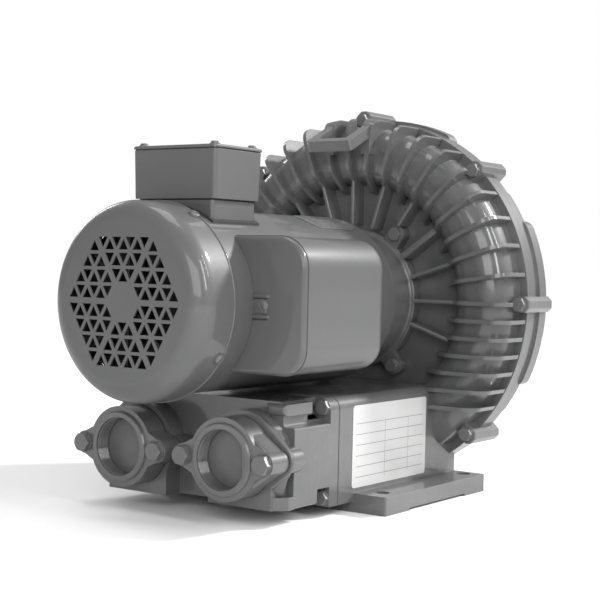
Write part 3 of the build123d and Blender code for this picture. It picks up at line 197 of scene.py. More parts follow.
sheetEnamelLook = {
    "paint": 0.078, "paintDeep": 0.070, "edgeRound": 0.0008, "mottleScale": 5.0,
    "peelScale": 260.0, "peelDepth": 0.00005, "waveScale": 11.0, "waveDepth": 0.0004,
    "gloss": 0.46, "glossPeel": 0.08, "glossTone": 0.06,
    "coat": 0.45, "coatRoughness": 0.07, "specular": 0.3}


def sheetEnamel(name="sheetEnamel", look=sheetEnamelLook):
    # smoother enamel on rolled and pressed sheet, with orange peel and slight waves
    s = Shader(name)
    tone = s.noise(look["mottleScale"], 3.0).clipped(0.35, 0.65)
    paint = s.mix(tone, shade(look["paintDeep"], -0.01), shade(look["paint"]))
    peel = s.noise(look["peelScale"], 2.0, 0.5)
    waves = s.noise(look["waveScale"], 1.0)
    normal = s.bump(waves, look["waveDepth"], 0.25, s.softEdges(look["edgeRound"]))
    normal = s.bump(peel, look["peelDepth"], 0.8, normal)
    roughness = look["gloss"] + (peel - 0.5) * look["glossPeel"] + (1 - tone) * look["glossTone"]
    return s.finish(
        paint, roughness, normal, Coat_Weight=look["coat"], Coat_Roughness=look["coatRoughness"],
        Specular_IOR_Level=look["specular"])


fastenerLook = {
    "paint": 0.090, "metal": 0.34, "edgeRound": 0.0006, "scuffScale": 240.0,
    "grainScale": 700.0, "grainDepth": 0.00004, "gloss": 0.4, "coat": 0.25, "coatRoughness": 0.28}


def fastenerEnamel(look=fastenerLook):
    # painted over with the machine, bright where a spanner has been
    s = Shader("fastenerEnamel")
    edge = s.edgeMask(look["edgeRound"])
    scuffs = s.noise(look["scuffScale"], 3.0).clipped(0.5, 0.62)
    bare = edge * scuffs
    colour = s.mix(bare, shade(look["paint"]), shade(look["metal"]))
    grain = s.noise(look["grainScale"], 3.0)
    normal = s.bump(grain, look["grainDepth"], 0.7, s.softEdges(look["edgeRound"]))
    return s.finish(
        colour, look["gloss"] + scuffs * 0.12, normal, Metallic=bare * 0.8,
        Coat_Weight=look["coat"], Coat_Roughness=look["coatRoughness"])


steelLook = {"dark": 0.42, "light": 0.6, "markScale": 900.0, "markDepth": 0.00002, "gloss": 0.22}


def machinedSteel(look=steelLook):
    # fine turning marks round the shaft line
    s = Shader("machinedSteel")
    marks = s.noise(look["markScale"], 2.0, 0.5, s.stretched(0.05, 1.0, 0.05))
    colour = s.mix(marks, shade(look["dark"], 0.01), shade(look["light"], 0.01))
    normal = s.bump(marks, look["markDepth"], 0.8, s.softEdges(0.0004))
    return s.finish(colour, look["gloss"] + marks * 0.16, normal, Metallic=1.0)


wheelLook = {"dark": 0.55, "light": 0.7, "grainScale": 500.0, "grainDepth": 0.00008, "gloss": 0.34}


def wheelAluminium(look=wheelLook):
    s = Shader("wheelAluminium")
    grain = s.noise(look["grainScale"], 4.0)
    colour = s.mix(s.noise(20.0), shade(look["dark"]), shade(look["light"]))
    normal = s.bump(grain, look["grainDepth"], 0.8, s.softEdges(0.0006))
    return s.finish(colour, look["gloss"] + grain * 0.2, normal, Metallic=1.0)


copperLook = {"shadow": (0.30, 0.10, 0.03, 1), "wire": (0.62, 0.25, 0.09, 1), "strandScale": 1500.0}


def copperWire(look=copperLook):
    # varnished strands that run along the slots
    s = Shader("copperWire")
    strands = s.noise(look["strandScale"], 2.0, 0.5, s.stretched(1.0, 0.04, 1.0))
    colour = s.mix(strands, look["shadow"], look["wire"])
    return s.finish(colour, 0.3 + strands * 0.2, s.bump(strands, 0.0003), Metallic=0.6, Coat_Weight=0.5)


laminationLook = {"dark": 0.16, "light": 0.28, "layerScale": 320.0, "layerDepth": 0.0002}


def laminatedSteel(look=laminationLook):
    s = Shader("laminatedSteel")
    layers = s.node(
        "ShaderNodeTexWave", {"bands_direction": "Y"}, {"Vector": s.place, "Scale": look["layerScale"]})
    colour = s.mix(layers, shade(look["dark"]), shade(look["light"]))
    return s.finish(colour, 0.4 + layers * 0.2, s.bump(layers, look["layerDepth"]), Metallic=0.8)


gasketLook = {"dark": 0.012, "light": 0.03, "fibreScale": 900.0, "fibreDepth": 0.0001}


def gasketSheet(look=gasketLook):
    s = Shader("gasketSheet")
    fibres = s.noise(look["fibreScale"], 4.0, 0.7)
    colour = s.mix(fibres, shade(look["dark"]), shade(look["light"], 0.02))
    return s.finish(colour, 0.75 + fibres * 0.15, s.bump(fibres, look["fibreDepth"]))


foamLook = {"pore": 0.01, "foam": 0.06, "poreScale": 500.0, "poreDepth": 0.0008}


def acousticFoam(look=foamLook):
    s = Shader("acousticFoam")
    pores = s.cells(look["poreScale"]).clipped(0.1, 0.5)
    colour = s.mix(pores, shade(look["pore"]), shade(look["foam"]))
    return s.finish(colour, 0.9 + pores * 0.05, s.bump(pores, look["poreDepth"]))


terminalLook = {"dark": 0.02, "light": 0.03, "gloss": 0.4, "grainScale": 800.0, "grainDepth": 0.00005}
fanLook = {**terminalLook, "dark": 0.012, "light": 0.02, "gloss": 0.45}


def mouldedPlastic(name, look):
    s = Shader(name)
    grain = s.noise(look["grainScale"], 3.0)
    colour = s.mix(s.noise(30.0), shade(look["dark"]), shade(look["light"]))
    normal = s.bump(grain, look["grainDepth"], 0.7, s.softEdges(0.0006))
    return s.finish(colour, look["gloss"] + grain * 0.12, normal)


plugLook = {
    "dark": 0.082, "light": 0.104, "cloudScale": 34.0, "grainScale": 500.0, "grainDepth": 0.00005,
    "gloss": 0.42, "coat": 0.15, "coatRoughness": 0.3}


def plugPaint(look=plugLook):
    # plugs sprayed over in their ports, with a thin cloudy coat
    s = Shader("plugPaint")
    cloud = s.noise(look["cloudScale"], 3.0)
    colour = s.mix(cloud.clipped(0.35, 0.65), shade(look["dark"]), shade(look["light"]))
    normal = s.bump(s.noise(look["grainScale"]), look["grainDepth"], 0.7, s.softEdges(0.0008))
    return s.finish(
        colour, look["gloss"] + cloud * 0.14, normal,
        Coat_Weight=look["coat"], Coat_Roughness=look["coatRoughness"])


canLook = {"dark": 0.5, "light": 0.66, "drawScale": 700.0, "drawDepth": 0.00003, "gloss": 0.25}


def capacitorCan(look=canLook):
    # drawing marks along a deep drawn can
    s = Shader("capacitorCan")
    drawn = s.noise(look["drawScale"], 2.0, 0.5, s.stretched(1.0, 0.03, 1.0))
    colour = s.mix(drawn, shade(look["dark"]), shade(look["light"]))
    return s.finish(colour, look["gloss"] + drawn * 0.2, s.bump(drawn, look["drawDepth"]), Metallic=1.0)


labelLook = {
    "film": 0.45, "rule": 0.07, "margin": 0.006, "ruleWidth": 0.0007, "ruleCount": 6,
    "firstRule": 0.12, "ruleStep": 0.13, "columns": (0.42, 0.74), "columnTop": 0.77,  # shares of the label
    "ink": 0.7, "ageing": 0.5, "coat": 0.2, "coatRoughness": 0.2}


def labelFilm(look=labelLook):
    # white film with an empty ruled form on it, no words
    s = Shader("labelFilm")
    low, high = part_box("rating_label")
    along = s.axis("Y")
    up = s.axis("Z")
    width = high[1] - low[1]
    height = high[2] - low[2]
    inside = (along > low[1] + look["margin"]) * (along < high[1] - look["margin"])
    inside = inside * (up > low[2] + look["margin"]) * (up < high[2] - look["margin"])
    ink = 0
    for row in range(look["ruleCount"]):
        level = low[2] + height * (look["firstRule"] + look["ruleStep"] * row)
        ink = (up > level) * (up < level + look["ruleWidth"]) + ink
    for share in look["columns"]:
        column = low[1] + width * share
        line = (along > column) * (along < column + look["ruleWidth"])
        ink = ink + line * (up < low[2] + height * look["columnTop"])
    ink = (ink * inside).clipped(0, 1)
    aged = s.noise(40.0, 4.0).clipped(0.4, 0.7)
    film = s.mix(aged * look["ageing"], shade(look["film"]), shade(look["film"] * 0.93, 0.012))
    colour = s.mix(ink * look["ink"], film, shade(look["rule"]))
    return s.finish(
        colour, 0.36 + aged * 0.1, s.bump(s.noise(120.0), 0.00004),
        Coat_Weight=look["coat"], Coat_Roughness=look["coatRoughness"])


fineCastLook = {
    **castEnamelLook, "paint": 0.080, "paintDeep": 0.070, "mottleScale": 6.0,
    "grainScale": 700.0, "grainDepth": 0.00007, "edgeRound": 0.0009}
nameplateLook = {**sheetEnamelLook, "paint": 0.12, "paintDeep": 0.10}

castMaterial = castEnamel()
fineCastMaterial = castEnamel("fineCastEnamel", fineCastLook)
sheetMaterial = sheetEnamel()
fastenerMaterial = fastenerEnamel()
gasketMaterial = gasketSheet()
nameplateMaterial = sheetEnamel("nameplateEnamel", nameplateLook)
slotMaterials = {
    "enamelled_casting": castMaterial,
    "enamelled_steel": sheetMaterial,
    "enamelled_fastener": fastenerMaterial,
    "machined_steel": machinedSteel(),
    "wheel_aluminium": wheelAluminium(),
    "copper_winding": copperWire(),
    "lamination": laminatedSteel(),
    "gasket": gasketMaterial,
    "foam": acousticFoam(),
    "plastic_black": mouldedPlastic("terminalPlastic", terminalLook),
    "plastic_fan": mouldedPlastic("fanPlastic", fanLook),
    "plug_grey": plugPaint(),
    "capacitor_can": capacitorCan(),
    "label_white": labelFilm(),
    "nameplate_metal": nameplateMaterial,
}
nodeMaterials = {  # the terminal box is a finer casting than its slot says
    "conduit_box": fineCastMaterial, "conduit_lid": fineCastMaterial, "conduit_riser": fineCastMaterial}


def dress():
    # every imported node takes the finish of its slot
    for part in frame["record"]["subparts"]:
        node = part["node"]
        mesh = nodes[node].data
        mesh.materials.clear()
        mesh.materials.append(nodeMaterials.get(node) or slotMaterials[part["material_slot"]])


dress()


def keep(bm, name, material, replaced=(), sharp=35):
    # a finished mesh becomes a piece fixed to the machine; sharp is the crease angle in degrees
    bmesh.ops.remove_doubles(bm, verts=bm.verts, dist=1e-6)
    bmesh.ops.recalc_face_normals(bm, faces=bm.faces)
    for face in bm.faces:
        face.smooth = True
    mesh = bpy.data.meshes.new(name)
    bm.to_mesh(mesh)
    bm.free()
    mesh.set_sharp_from_angle(angle=math.radians(sharp))
    mesh.materials.append(material)
    piece = bpy.data.objects.new(name, mesh)
    bpy.context.scene.collection.objects.link(piece)
    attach(piece, "root")
    if replaced:
        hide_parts(*replaced)
    return piece


def everything(bm):
    return bm.verts[:] + bm.edges[:] + bm.faces[:]


def vertsIn(geometry):
    return [item for item in geometry if isinstance(item, bmesh.types.BMVert)]


def edgesIn(geometry):
    return [item for item in geometry if isinstance(item, bmesh.types.BMEdge)]


def facing(direction, place):
    # turns a piece made upwards so that it points along direction at place
    turn = Vector(direction).normalized().to_track_quat("Z", "Y").to_matrix().to_4x4()
    return Matrix.Translation(place) @ turn


def onRim(radius, angle, y, middle=(0.0, shaftHeight)):
    # the point at an angle in degrees on a ring round a line along y
    turn = math.radians(angle)
    return Vector((middle[0] + radius * math.cos(turn), y, middle[1] + radius * math.sin(turn)))


def disc(bm, radius, top, depth, segments=32):
    # round plate of some depth, standing on the level z 0
    bmesh.ops.create_cone(
        bm, cap_ends=True, segments=segments, radius1=radius, radius2=top, depth=depth,
        matrix=Matrix.Translation((0, 0, depth / 2)))


screwHead = {  # shares of the head's radius and height, and the washer in metres
    "round": 0.38, "coreRadius": 0.99, "coreHeight": 0.45, "washerThick": 0.0009}


def slottedHead(size, matrix, into, look=screwHead):
    # pan head in two halves either side of the driver slot, on a flat washer
    radius = size["headRadius"]
    height = size["headHeight"]
    head = bmesh.new()
    disc(head, radius, radius, height)
    rim = [edge for edge in head.edges if all(v.co.z > height * 0.9 for v in edge.verts)]
    bmesh.ops.bevel(
        head, geom=rim, offset=height * look["round"], segments=4, profile=0.5, affect="EDGES", material=-1)
    cut = bmesh.ops.bisect_plane(
        head, geom=everything(head), plane_co=(size["slot"] / 2, 0, 0), plane_no=(1, 0, 0),
        clear_inner=True)
    bmesh.ops.edgeloop_fill(head, edges=edgesIn(cut["geom_cut"]))
    bmesh.ops.mirror(head, geom=everything(head), axis="X", merge_dist=0)
    disc(head, radius * look["coreRadius"], radius * look["coreRadius"], height * look["coreHeight"])
    if size["washer"]:
        disc(head, size["washer"], size["washer"] * 0.97, look["washerThick"], 40)
    bmesh.ops.transform(head, matrix=matrix, verts=head.verts)
    bmesh.ops.recalc_face_normals(head, faces=head.faces)
    spare = bpy.data.meshes.new("spare")
    head.to_mesh(spare)
    head.free()
    into.from_mesh(spare)
    bpy.data.meshes.remove(spare)


lidScrewSize = {
    "headRadius": 0.0038, "headHeight": 0.0030, "slot": 0.0011, "washer": 0.0050, "fromEdge": 0.00485}


def lidScrews(size=lidScrewSize):
    low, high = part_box("lid_screws")
    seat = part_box("conduit_lid")[1][2]
    inset = size["fromEdge"]
    bm = bmesh.new()
    for column, x in enumerate((low[0] + inset, high[0] - inset)):
        for row, y in enumerate((low[1] + inset, high[1] - inset)):
            slotTurn = 25 + 50 * column + 35 * row  # degrees, no two slots line up
            turn = Matrix.Rotation(math.radians(slotTurn), 4, "Z")
            slottedHead(size, Matrix.Translation((x, y, seat)) @ turn, bm)
    keep(bm, "lidScrews", fastenerMaterial, ("lid_screws",))


cowlScrewSize = {
    "headRadius": 0.0050, "headHeight": 0.0030, "slot": 0.0012, "washer": 0, "angles": (-31, 59, 149, 239)}


def cowlScrews(size=cowlScrewSize):
    low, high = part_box("cowl_screws")
    y = (low[1] + high[1]) / 2
    bm = bmesh.new()
    for angle in size["angles"]:
        out = onRim(1.0, angle, 0, (0, 0))
        place = onRim(cowlRadius, angle, y)
        slottedHead(size, facing(out, place) @ Matrix.Rotation(math.radians(angle), 4, "Z"), bm)
    keep(bm, "cowlScrews", fastenerMaterial, ("cowl_screws",))


coverScrewSize = {
    "headRadius": 0.0046, "headHeight": 0.0027, "slot": 0.0012, "washer": 0.0056, "slotTurn": 0.5}


def coverScrew(size=coverScrewSize):
    low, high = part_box("capacitor_cover_screw")
    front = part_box("capacitor_cover")[0][1]
    bm = bmesh.new()
    place = ((low[0] + high[0]) / 2, front, (low[2] + high[2]) / 2)
    slottedHead(size, facing((0, -1, 0), place) @ Matrix.Rotation(size["slotTurn"], 4, "Z"), bm)
    keep(bm, "coverScrew", fastenerMaterial, ("capacitor_cover_screw",))


landShape = {
    "inside": 0.061, "outside": 0.1272, "low": 0.1170, "high": 0.1275, "edge": 0.0022, "steps": 120}


def coverLand(look=landShape):
    # round raised land on the back casting, between the hub and the channel
    bm = bmesh.new()
    bmesh.ops.create_grid(bm, x_segments=1, y_segments=1, size=0.5)
    size = (look["outside"] - look["inside"], look["high"] - look["low"], 1)
    bmesh.ops.scale(bm, vec=size, verts=bm.verts)
    middle = ((look["outside"] + look["inside"]) / 2, (look["high"] + look["low"]) / 2, shaftHeight)
    bmesh.ops.translate(bm, vec=middle, verts=bm.verts)
    bmesh.ops.delete(bm, geom=bm.faces[:], context="FACES_ONLY")
    lip = [v for v in bm.verts if v.co.x < look["inside"] + touching and v.co.y > look["high"] - touching]
    bmesh.ops.bevel(
        bm, geom=lip, offset=look["edge"], segments=4, profile=0.5, affect="VERTICES", material=-1)
    bmesh.ops.spin(
        bm, geom=bm.verts[:] + bm.edges[:], cent=(0, 0, shaftHeight), axis=(0, 1, 0),
        angle=math.radians(360), steps=look["steps"], use_merge=True)
    keep(bm, "coverLand", castMaterial)


coverShape = {  # heights from the shaft line
    "top": 0.0615, "bottom": -0.0620, "out": 0.1420, "hug": 0.0866, "hugSteps": 28, "wall": 0.0016,
    "topCorner": 0.029, "lowCorner": 0.024, "frontEdge": 0.0042, "backEdge": 0.017, "slack": 0.0001}


def capacitorCover(look=coverShape):
    # drawn steel cover that hugs the motor frame, well rounded at its back end
    low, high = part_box("capacitor_cover")
    front = low[1]
    back = high[1]
    hug = look["hug"]
    topAngle = math.asin(look["top"] / hug)
    lowAngle = math.asin(look["bottom"] / hug)
    bm = bmesh.new()
    first = bm.verts.new((hug * math.cos(topAngle), front, shaftHeight + look["top"]))
    bmesh.ops.spin(
        bm, geom=[first], cent=(0, 0, shaftHeight), axis=(0, 1, 0), angle=topAngle - lowAngle,
        steps=look["hugSteps"])
    bm.verts.ensure_lookup_table()
    arc = bm.verts[:]
    lowCorner = bm.verts.new((look["out"], front, shaftHeight + look["bottom"]))
    topCorner = bm.verts.new((look["out"], front, shaftHeight + look["top"]))
    bm.faces.new(arc + [lowCorner, topCorner])
    for corner, radius in ((topCorner, look["topCorner"]), (lowCorner, look["lowCorner"])):
        bmesh.ops.bevel(
            bm, geom=[corner], offset=radius, segments=12, profile=0.5, affect="VERTICES", material=-1)
    grown = bmesh.ops.extrude_face_region(bm, geom=bm.faces[:])["geom"]
    bmesh.ops.translate(bm, vec=(0, back - front, 0), verts=vertsIn(grown))
    bmesh.ops.recalc_face_normals(bm, faces=bm.faces)

    def fromShaft(point):
        return math.hypot(point.x, point.z - shaftHeight)

    for y, radius in ((back, look["backEdge"]), (front, look["frontEdge"])):
        rim = [
            edge for edge in bm.edges if all(abs(v.co.y - y) < touching for v in edge.verts)
            and any(fromShaft(v.co) > hug + look["slack"] for v in edge.verts)]
        bmesh.ops.bevel(
            bm, geom=rim, offset=radius, segments=7, profile=0.5, affect="EDGES", material=-1)
    hugging = [
        face for face in bm.faces
        if abs(face.normal.y) < 0.5 and fromShaft(face.calc_center_median()) < hug + 2 * look["slack"]]
    bmesh.ops.delete(bm, geom=hugging, context="FACES")
    bmesh.ops.remove_doubles(bm, verts=bm.verts, dist=1e-6)
    bmesh.ops.recalc_face_normals(bm, faces=bm.faces)
    if not any(face.normal.x > 0.9 for face in bm.faces):  # the shell is open, so it may be inside out
        bmesh.ops.reverse_faces(bm, faces=bm.faces)
    bmesh.ops.solidify(bm, geom=bm.faces[:], thickness=look["wall"])
    keep(bm, "capacitorCover", sheetMaterial, ("capacitor_cover",))


def roundedBar(bm, middle, size, radius):
    # bar with every edge rounded
    made = bmesh.ops.create_cube(bm, size=1.0)["verts"]
    bmesh.ops.scale(bm, vec=size, verts=made)
    bmesh.ops.translate(bm, vec=middle, verts=made)
    edges = list({edge for vert in made for edge in vert.link_edges})
    bmesh.ops.bevel(bm, geom=edges, offset=radius, segments=4, profile=0.5, affect="EDGES", material=-1)


clipShape = {
    "ribs": ((0.0934, 0.2105, 0.021), (0.0920, 0.1920, 0.025)),  # x, z and length
    "ribHeight": 0.0036, "ribProud": 0.0017, "ribRound": 0.00165,
    "pad": (0.0905, 0.2014, 0.021, 0.0130), "padProud": 0.0010, "padRound": 0.00095,
    "slots": ((0.0795, 0.2046), (0.0795, 0.1990)), "slotSize": (0.0048, 0.0026), "slotProud": 0.0001,
    "ventShift": (0.001, -0.0026), "ventLength": 0.72, "ventHeight": 0.0014,
    "shadeBarDepth": 0.0006, "shadeBarRound": 0.00025}


def coverPressing(look=clipShape):
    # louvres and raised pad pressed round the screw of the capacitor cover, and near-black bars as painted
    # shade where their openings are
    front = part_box("capacitor_cover")[0][1]
    bm = bmesh.new()
    for x, z, length in look["ribs"]:
        roundedBar(bm, (x, front, z), (length, 2 * look["ribProud"], look["ribHeight"]), look["ribRound"])
    x, z, length, height = look["pad"]
    roundedBar(bm, (x, front, z), (length, 2 * look["padProud"], height), look["padRound"])
    keep(bm, "coverPressing", sheetMaterial)
    # near-black bars in front of the louvres and slots: painted shade standing in for the dark inside their
    # openings, no hole is cut
    bm = bmesh.new()
    shiftX, shiftZ = look["ventShift"]
    for x, z, length in look["ribs"]:
        size = (length * look["ventLength"], look["shadeBarDepth"], look["ventHeight"])
        roundedBar(bm, (x + shiftX, front, z + shiftZ), size, look["shadeBarRound"])
    length, height = look["slotSize"]
    for x, z in look["slots"]:
        place = (x, front - look["slotProud"], z)
        roundedBar(bm, place, (length, look["shadeBarDepth"], height), look["shadeBarRound"])
    keep(bm, "coverVentShade", gasketMaterial)


flangeShape = {"setback": 0.0052, "width": 0.0020, "proud": 0.0007, "middle": 0.100}


def coverFlange(look=flangeShape):
    # folded lip that runs round the front of the capacitor cover
    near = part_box("capacitor_cover")[0][1] + look["setback"]
    far = near + look["width"]
    bm = bmesh.new()
    bm.from_mesh(nodes["capacitor_cover"].data)
    bmesh.ops.remove_doubles(bm, verts=bm.verts, dist=touching)
    for y, side in ((near, 1), (far, -1)):
        bmesh.ops.bisect_plane(
            bm, geom=everything(bm), plane_co=(0, y, 0), plane_no=(0, side, 0), clear_inner=True)
    middle = Vector((look["middle"], 0, shaftHeight))
    across = Vector((1, 0, 1))
    inner = [
        face for face in bm.faces
        if face.normal.dot((face.calc_center_median() - middle) * across) < 0]
    bmesh.ops.delete(bm, geom=inner, context="FACES")
    bmesh.ops.solidify(bm, geom=bm.faces[:], thickness=-look["proud"])
    keep(bm, "coverFlange", sheetMaterial)


gussetShape = {
    "ringAngle": 62, "ringReach": 0.0375, "earAngle": 58, "earReach": 0.0105, "earInset": 0.011,
    "front": 0.0065, "edge": 0.0035}


def outletGusset(look=gussetShape):
    # cast webs that run from the outlet ring to its outer bolt ear
    low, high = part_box("outlet_flange")
    front = low[1] + look["front"]
    ear = (high[0] - look["earInset"], (low[2] + high[2]) / 2)
    ring = ((low[0] + high[0]) / 2, ear[1])
    bm = bmesh.new()
    corners = [
        (look["ringReach"], look["ringAngle"], ring), (look["earReach"], look["earAngle"], ear),
        (look["earReach"], -look["earAngle"], ear), (look["ringReach"], -look["ringAngle"], ring)]
    bm.faces.new([bm.verts.new(onRim(reach, angle, front, middle)) for reach, angle, middle in corners])
    grown = bmesh.ops.extrude_face_region(bm, geom=bm.faces[:])["geom"]
    bmesh.ops.translate(bm, vec=(0, high[1] - front, 0), verts=vertsIn(grown))
    rim = [edge for edge in bm.edges if all(v.co.y < front + touching for v in edge.verts)]
    bmesh.ops.bevel(
        bm, geom=rim, offset=look["edge"], segments=4, profile=0.5, affect="EDGES", material=-1)
    keep(bm, "outletGusset", castMaterial)


shoulderShape = {
    "seat": 0.0445, "seatAngles": (90, 76, 62), "ear": 0.0145, "earAngles": (58, 32, 0), "earInset": 0.011,
    "front": -0.2257, "seatBack": -0.2222, "back": -0.2030,
    "side": 0.1012, "low": 0.0165, "high": 0.0900, "round": 0.007, "cornerRun": 2.2, "flat": 0.010,
    "steps": (0.0, 0.12, 0.3, 0.55, 1.0), "hollow": 2.4, "edge": 0.0014, "edgeSteps": 3, "edgeAngle": 50}


def portShoulder(name, node, look=shoulderShape):
    # cast seat behind an oval flange that flows back into the side of the manifold
    low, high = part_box(node)
    x = (low[0] + high[0]) / 2
    z = (low[2] + high[2]) / 2
    side = 1 if x > 0 else -1  # each flange has its outer ear on its own side
    earX = side * (max(abs(low[0]), abs(high[0])) - look["earInset"])
    upper = [(x, look["seat"], angle) for angle in look["seatAngles"]]
    upper += [(earX, look["ear"], angle) for angle in look["earAngles"]]
    seat = upper + [(centre, reach, -angle) for centre, reach, angle in upper[-2::-1]]
    seatLine = []
    for centre, reach, angle in seat:
        turn = math.radians(angle)
        seatLine.append(Vector((centre + side * reach * math.cos(turn), 0, z + reach * math.sin(turn))))
    edge = side * look["side"]
    inset = side * look["round"]
    shoulderX = x + inset * look["cornerRun"]
    blockLine = [Vector((px, 0, pz)) for px, pz in (
        (x, look["high"]), (shoulderX, look["high"]), (edge - inset, look["high"]),
        (edge, look["high"] - look["round"]), (edge, z + look["flat"]), (edge, z), (edge, z - look["flat"]),
        (edge, look["low"] + look["round"]), (edge - inset, look["low"]),
        (shoulderX, look["low"]), (x, look["low"]))]
    depth = look["back"] - look["seatBack"]
    levels = [(look["front"], 0.0)]  # y, and how far the outline has gone from seat to block
    for step in look["steps"]:
        levels.append((look["seatBack"] + depth * step, 1 - (1 - step) ** look["hollow"]))
    bm = bmesh.new()
    loops = []
    for y, share in levels:
        points = [a.lerp(b, share) for a, b in zip(seatLine, blockLine)]
        verts = [bm.verts.new((point.x, y, point.z)) for point in points]
        loops.append([bm.edges.new(pair) for pair in zip(verts, verts[1:] + verts[:1])])
    for near, far in zip(loops, loops[1:]):
        bmesh.ops.bridge_loops(bm, edges=near + far)
    bmesh.ops.edgeloop_fill(bm, edges=loops[0])
    bmesh.ops.edgeloop_fill(bm, edges=loops[-1])
    piece = keep(bm, name, castMaterial, sharp=look["edgeAngle"])
    rounding = piece.modifiers.new("rounding", "BEVEL")
    rounding.width = look["edge"]
    rounding.segments = look["edgeSteps"]
    rounding.limit_method = "ANGLE"
    rounding.angle_limit = math.radians(look["edgeAngle"])


threadShape = {  # crest and foot are shares of a pitch
    "radius": 0.0281, "depth": 0.0011, "pitch": 0.0022, "crest": 0.46, "foot": 0.92,
    "turns": 6, "steps": 48, "inset": 0.0012}


def portThreads(name, node, look=threadShape):
    # one helical ridge inside the mouth of a port
    low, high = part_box(node)
    x = (low[0] + high[0]) / 2
    z = (low[2] + high[2]) / 2
    y = low[1] + look["inset"]
    wall = x + look["radius"]
    pitch = look["pitch"]
    bm = bmesh.new()
    bm.faces.new([
        bm.verts.new((wall, y, z)),
        bm.verts.new((wall - look["depth"], y + pitch * look["crest"], z)),
        bm.verts.new((wall, y + pitch * look["foot"], z))])
    bmesh.ops.spin(
        bm, geom=everything(bm), cent=(x, y, z), axis=(0, 1, 0), dvec=(0, pitch / look["steps"], 0),
        angle=math.radians(360 * look["turns"]), steps=look["steps"] * look["turns"], use_merge=False)
    keep(bm, name, castMaterial, sharp=70)


hemShape = {"bead": 0.0011, "beadSides": 10, "segments": 120, "setback": 0.0012}


def cowlBead(look=hemShape):
    # rolled hem round the back edge of the fan cowl
    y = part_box("fan_cowl")[1][1] - look["setback"]
    bm = bmesh.new()
    around = Matrix.Translation((cowlRadius, y, shaftHeight))
    bmesh.ops.create_circle(bm, segments=look["beadSides"], radius=look["bead"], matrix=around)
    bmesh.ops.spin(
        bm, geom=bm.verts[:] + bm.edges[:], cent=(0, y, shaftHeight), axis=(0, 1, 0),
        angle=math.radians(360), steps=look["segments"], use_merge=True)
    keep(bm, "cowlBead", sheetMaterial, sharp=80)


plateShape = {
    "angle": 70, "halfAngle": 12.5, "thick": 0.0008, "border": 0.0028, "endGap": 0.012,
    "lineWidth": 0.00072, "proud": 0.00035, "fields": 4, "crossLines": (-1, -0.2, 1),
    "rivet": 0.0021, "rivetHeight": 0.55, "rivetInset": 0.0065}
plateRadius = frameRadius + plateShape["thick"]


def wrapped(point):
    # a point of the flat plate, x across and y along, rolled to the frame
    angle = plateShape["angle"] + math.degrees(point.x / plateRadius)
    return onRim(plateRadius + point.z, angle, point.y)


def plateDetails(look=plateShape):
    # raised empty fields and drive rivets on the rolled nameplate
    low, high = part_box("motor_nameplate")
    middle = (low[1] + high[1]) / 2
    halfLength = (high[1] - low[1]) / 2
    reach = plateRadius * math.radians(look["halfAngle"]) - look["border"]
    span = halfLength - look["border"] - look["endGap"]
    fieldWidth = 2 * reach / look["fields"]
    proud = look["proud"]
    bm = bmesh.new()
    for k in range(look["fields"] + 1):
        made = bmesh.ops.create_cube(bm, size=1.0)["verts"]
        bmesh.ops.scale(bm, vec=(look["lineWidth"], 2 * span, 2 * proud), verts=made)
        bmesh.ops.translate(bm, vec=(-reach + fieldWidth * k, middle, 0), verts=made)
    for share in look["crossLines"]:
        made = bmesh.ops.create_grid(bm, x_segments=12, y_segments=1, size=0.5)["verts"]
        bmesh.ops.scale(bm, vec=(2 * reach, look["lineWidth"], 1), verts=made)
        bmesh.ops.translate(bm, vec=(0, middle + span * share, proud), verts=made)
        faces = list({face for vert in made for face in vert.link_faces})
        grown = bmesh.ops.extrude_face_region(bm, geom=faces)["geom"]
        bmesh.ops.translate(bm, vec=(0, 0, -2 * proud), verts=vertsIn(grown))
    for vert in bm.verts:
        vert.co = wrapped(vert.co)
    rivetPlace = halfLength - look["rivetInset"]
    for y in (-rivetPlace, rivetPlace):
        place = wrapped(Vector((0, middle + y, 0)))
        out = Vector((place.x, 0, place.z - shaftHeight))
        made = bmesh.ops.create_uvsphere(bm, u_segments=20, v_segments=10, radius=look["rivet"])["verts"]
        bmesh.ops.scale(bm, vec=(1, 1, look["rivetHeight"]), verts=made)
        bmesh.ops.transform(bm, matrix=facing(out, place), verts=made)
    keep(bm, "plateDetails", nameplateMaterial)


seamShape = {
    "angle": -78, "width": 0.0050, "proud": 0.0009, "sink": 0.0001, "shorter": 0.080, "shift": 0.030,
    "ripples": 60, "rippleDepth": 0.25, "rippleBow": 1.6}


def frameWeld(look=seamShape):
    # the weld that closes the rolled motor frame, low on its side
    low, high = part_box("motor_frame")
    length = high[1] - low[1] - look["shorter"]
    middle = (low[1] + high[1]) / 2 + look["shift"]
    bm = bmesh.new()
    bmesh.ops.create_grid(bm, x_segments=6, y_segments=look["ripples"] * 4, size=0.5)
    bmesh.ops.scale(bm, vec=(look["width"], length, 1), verts=bm.verts)
    for vert in bm.verts:
        across = vert.co.x / (look["width"] / 2)
        along = 2 * math.pi * look["ripples"] * vert.co.y / length
        wave = math.cos(along + look["rippleBow"] * across ** 2)
        ripple = 1 - look["rippleDepth"] * (1 - wave)
        lift = look["proud"] * (1 - across ** 2) * ripple - look["sink"]
        angle = look["angle"] + math.degrees(vert.co.x / frameRadius)
        vert.co = onRim(frameRadius + lift, angle, middle + vert.co.y)
    keep(bm, "frameWeld", sheetMaterial, sharp=80)


lidScrews()
cowlScrews()
coverScrew()
coverLand()
capacitorCover()
coverPressing()
coverFlange()
outletGusset()
portShoulder("inletShoulder", "inlet_flange")
portShoulder("outletShoulder", "outlet_flange")
portThreads("inletThread", "inlet_flange")
portThreads("outletThread", "outlet_flange")
cowlBead()
plateDetails()
frameWeld()
print("small pieces made")


cameraView = {  # metres, degrees, millimetres of lens
    "position": (0.82814, -1.21431, 0.24322), "turn": 35.37, "tilt": -1.67, "roll": 1.33, "lens": 82.03}


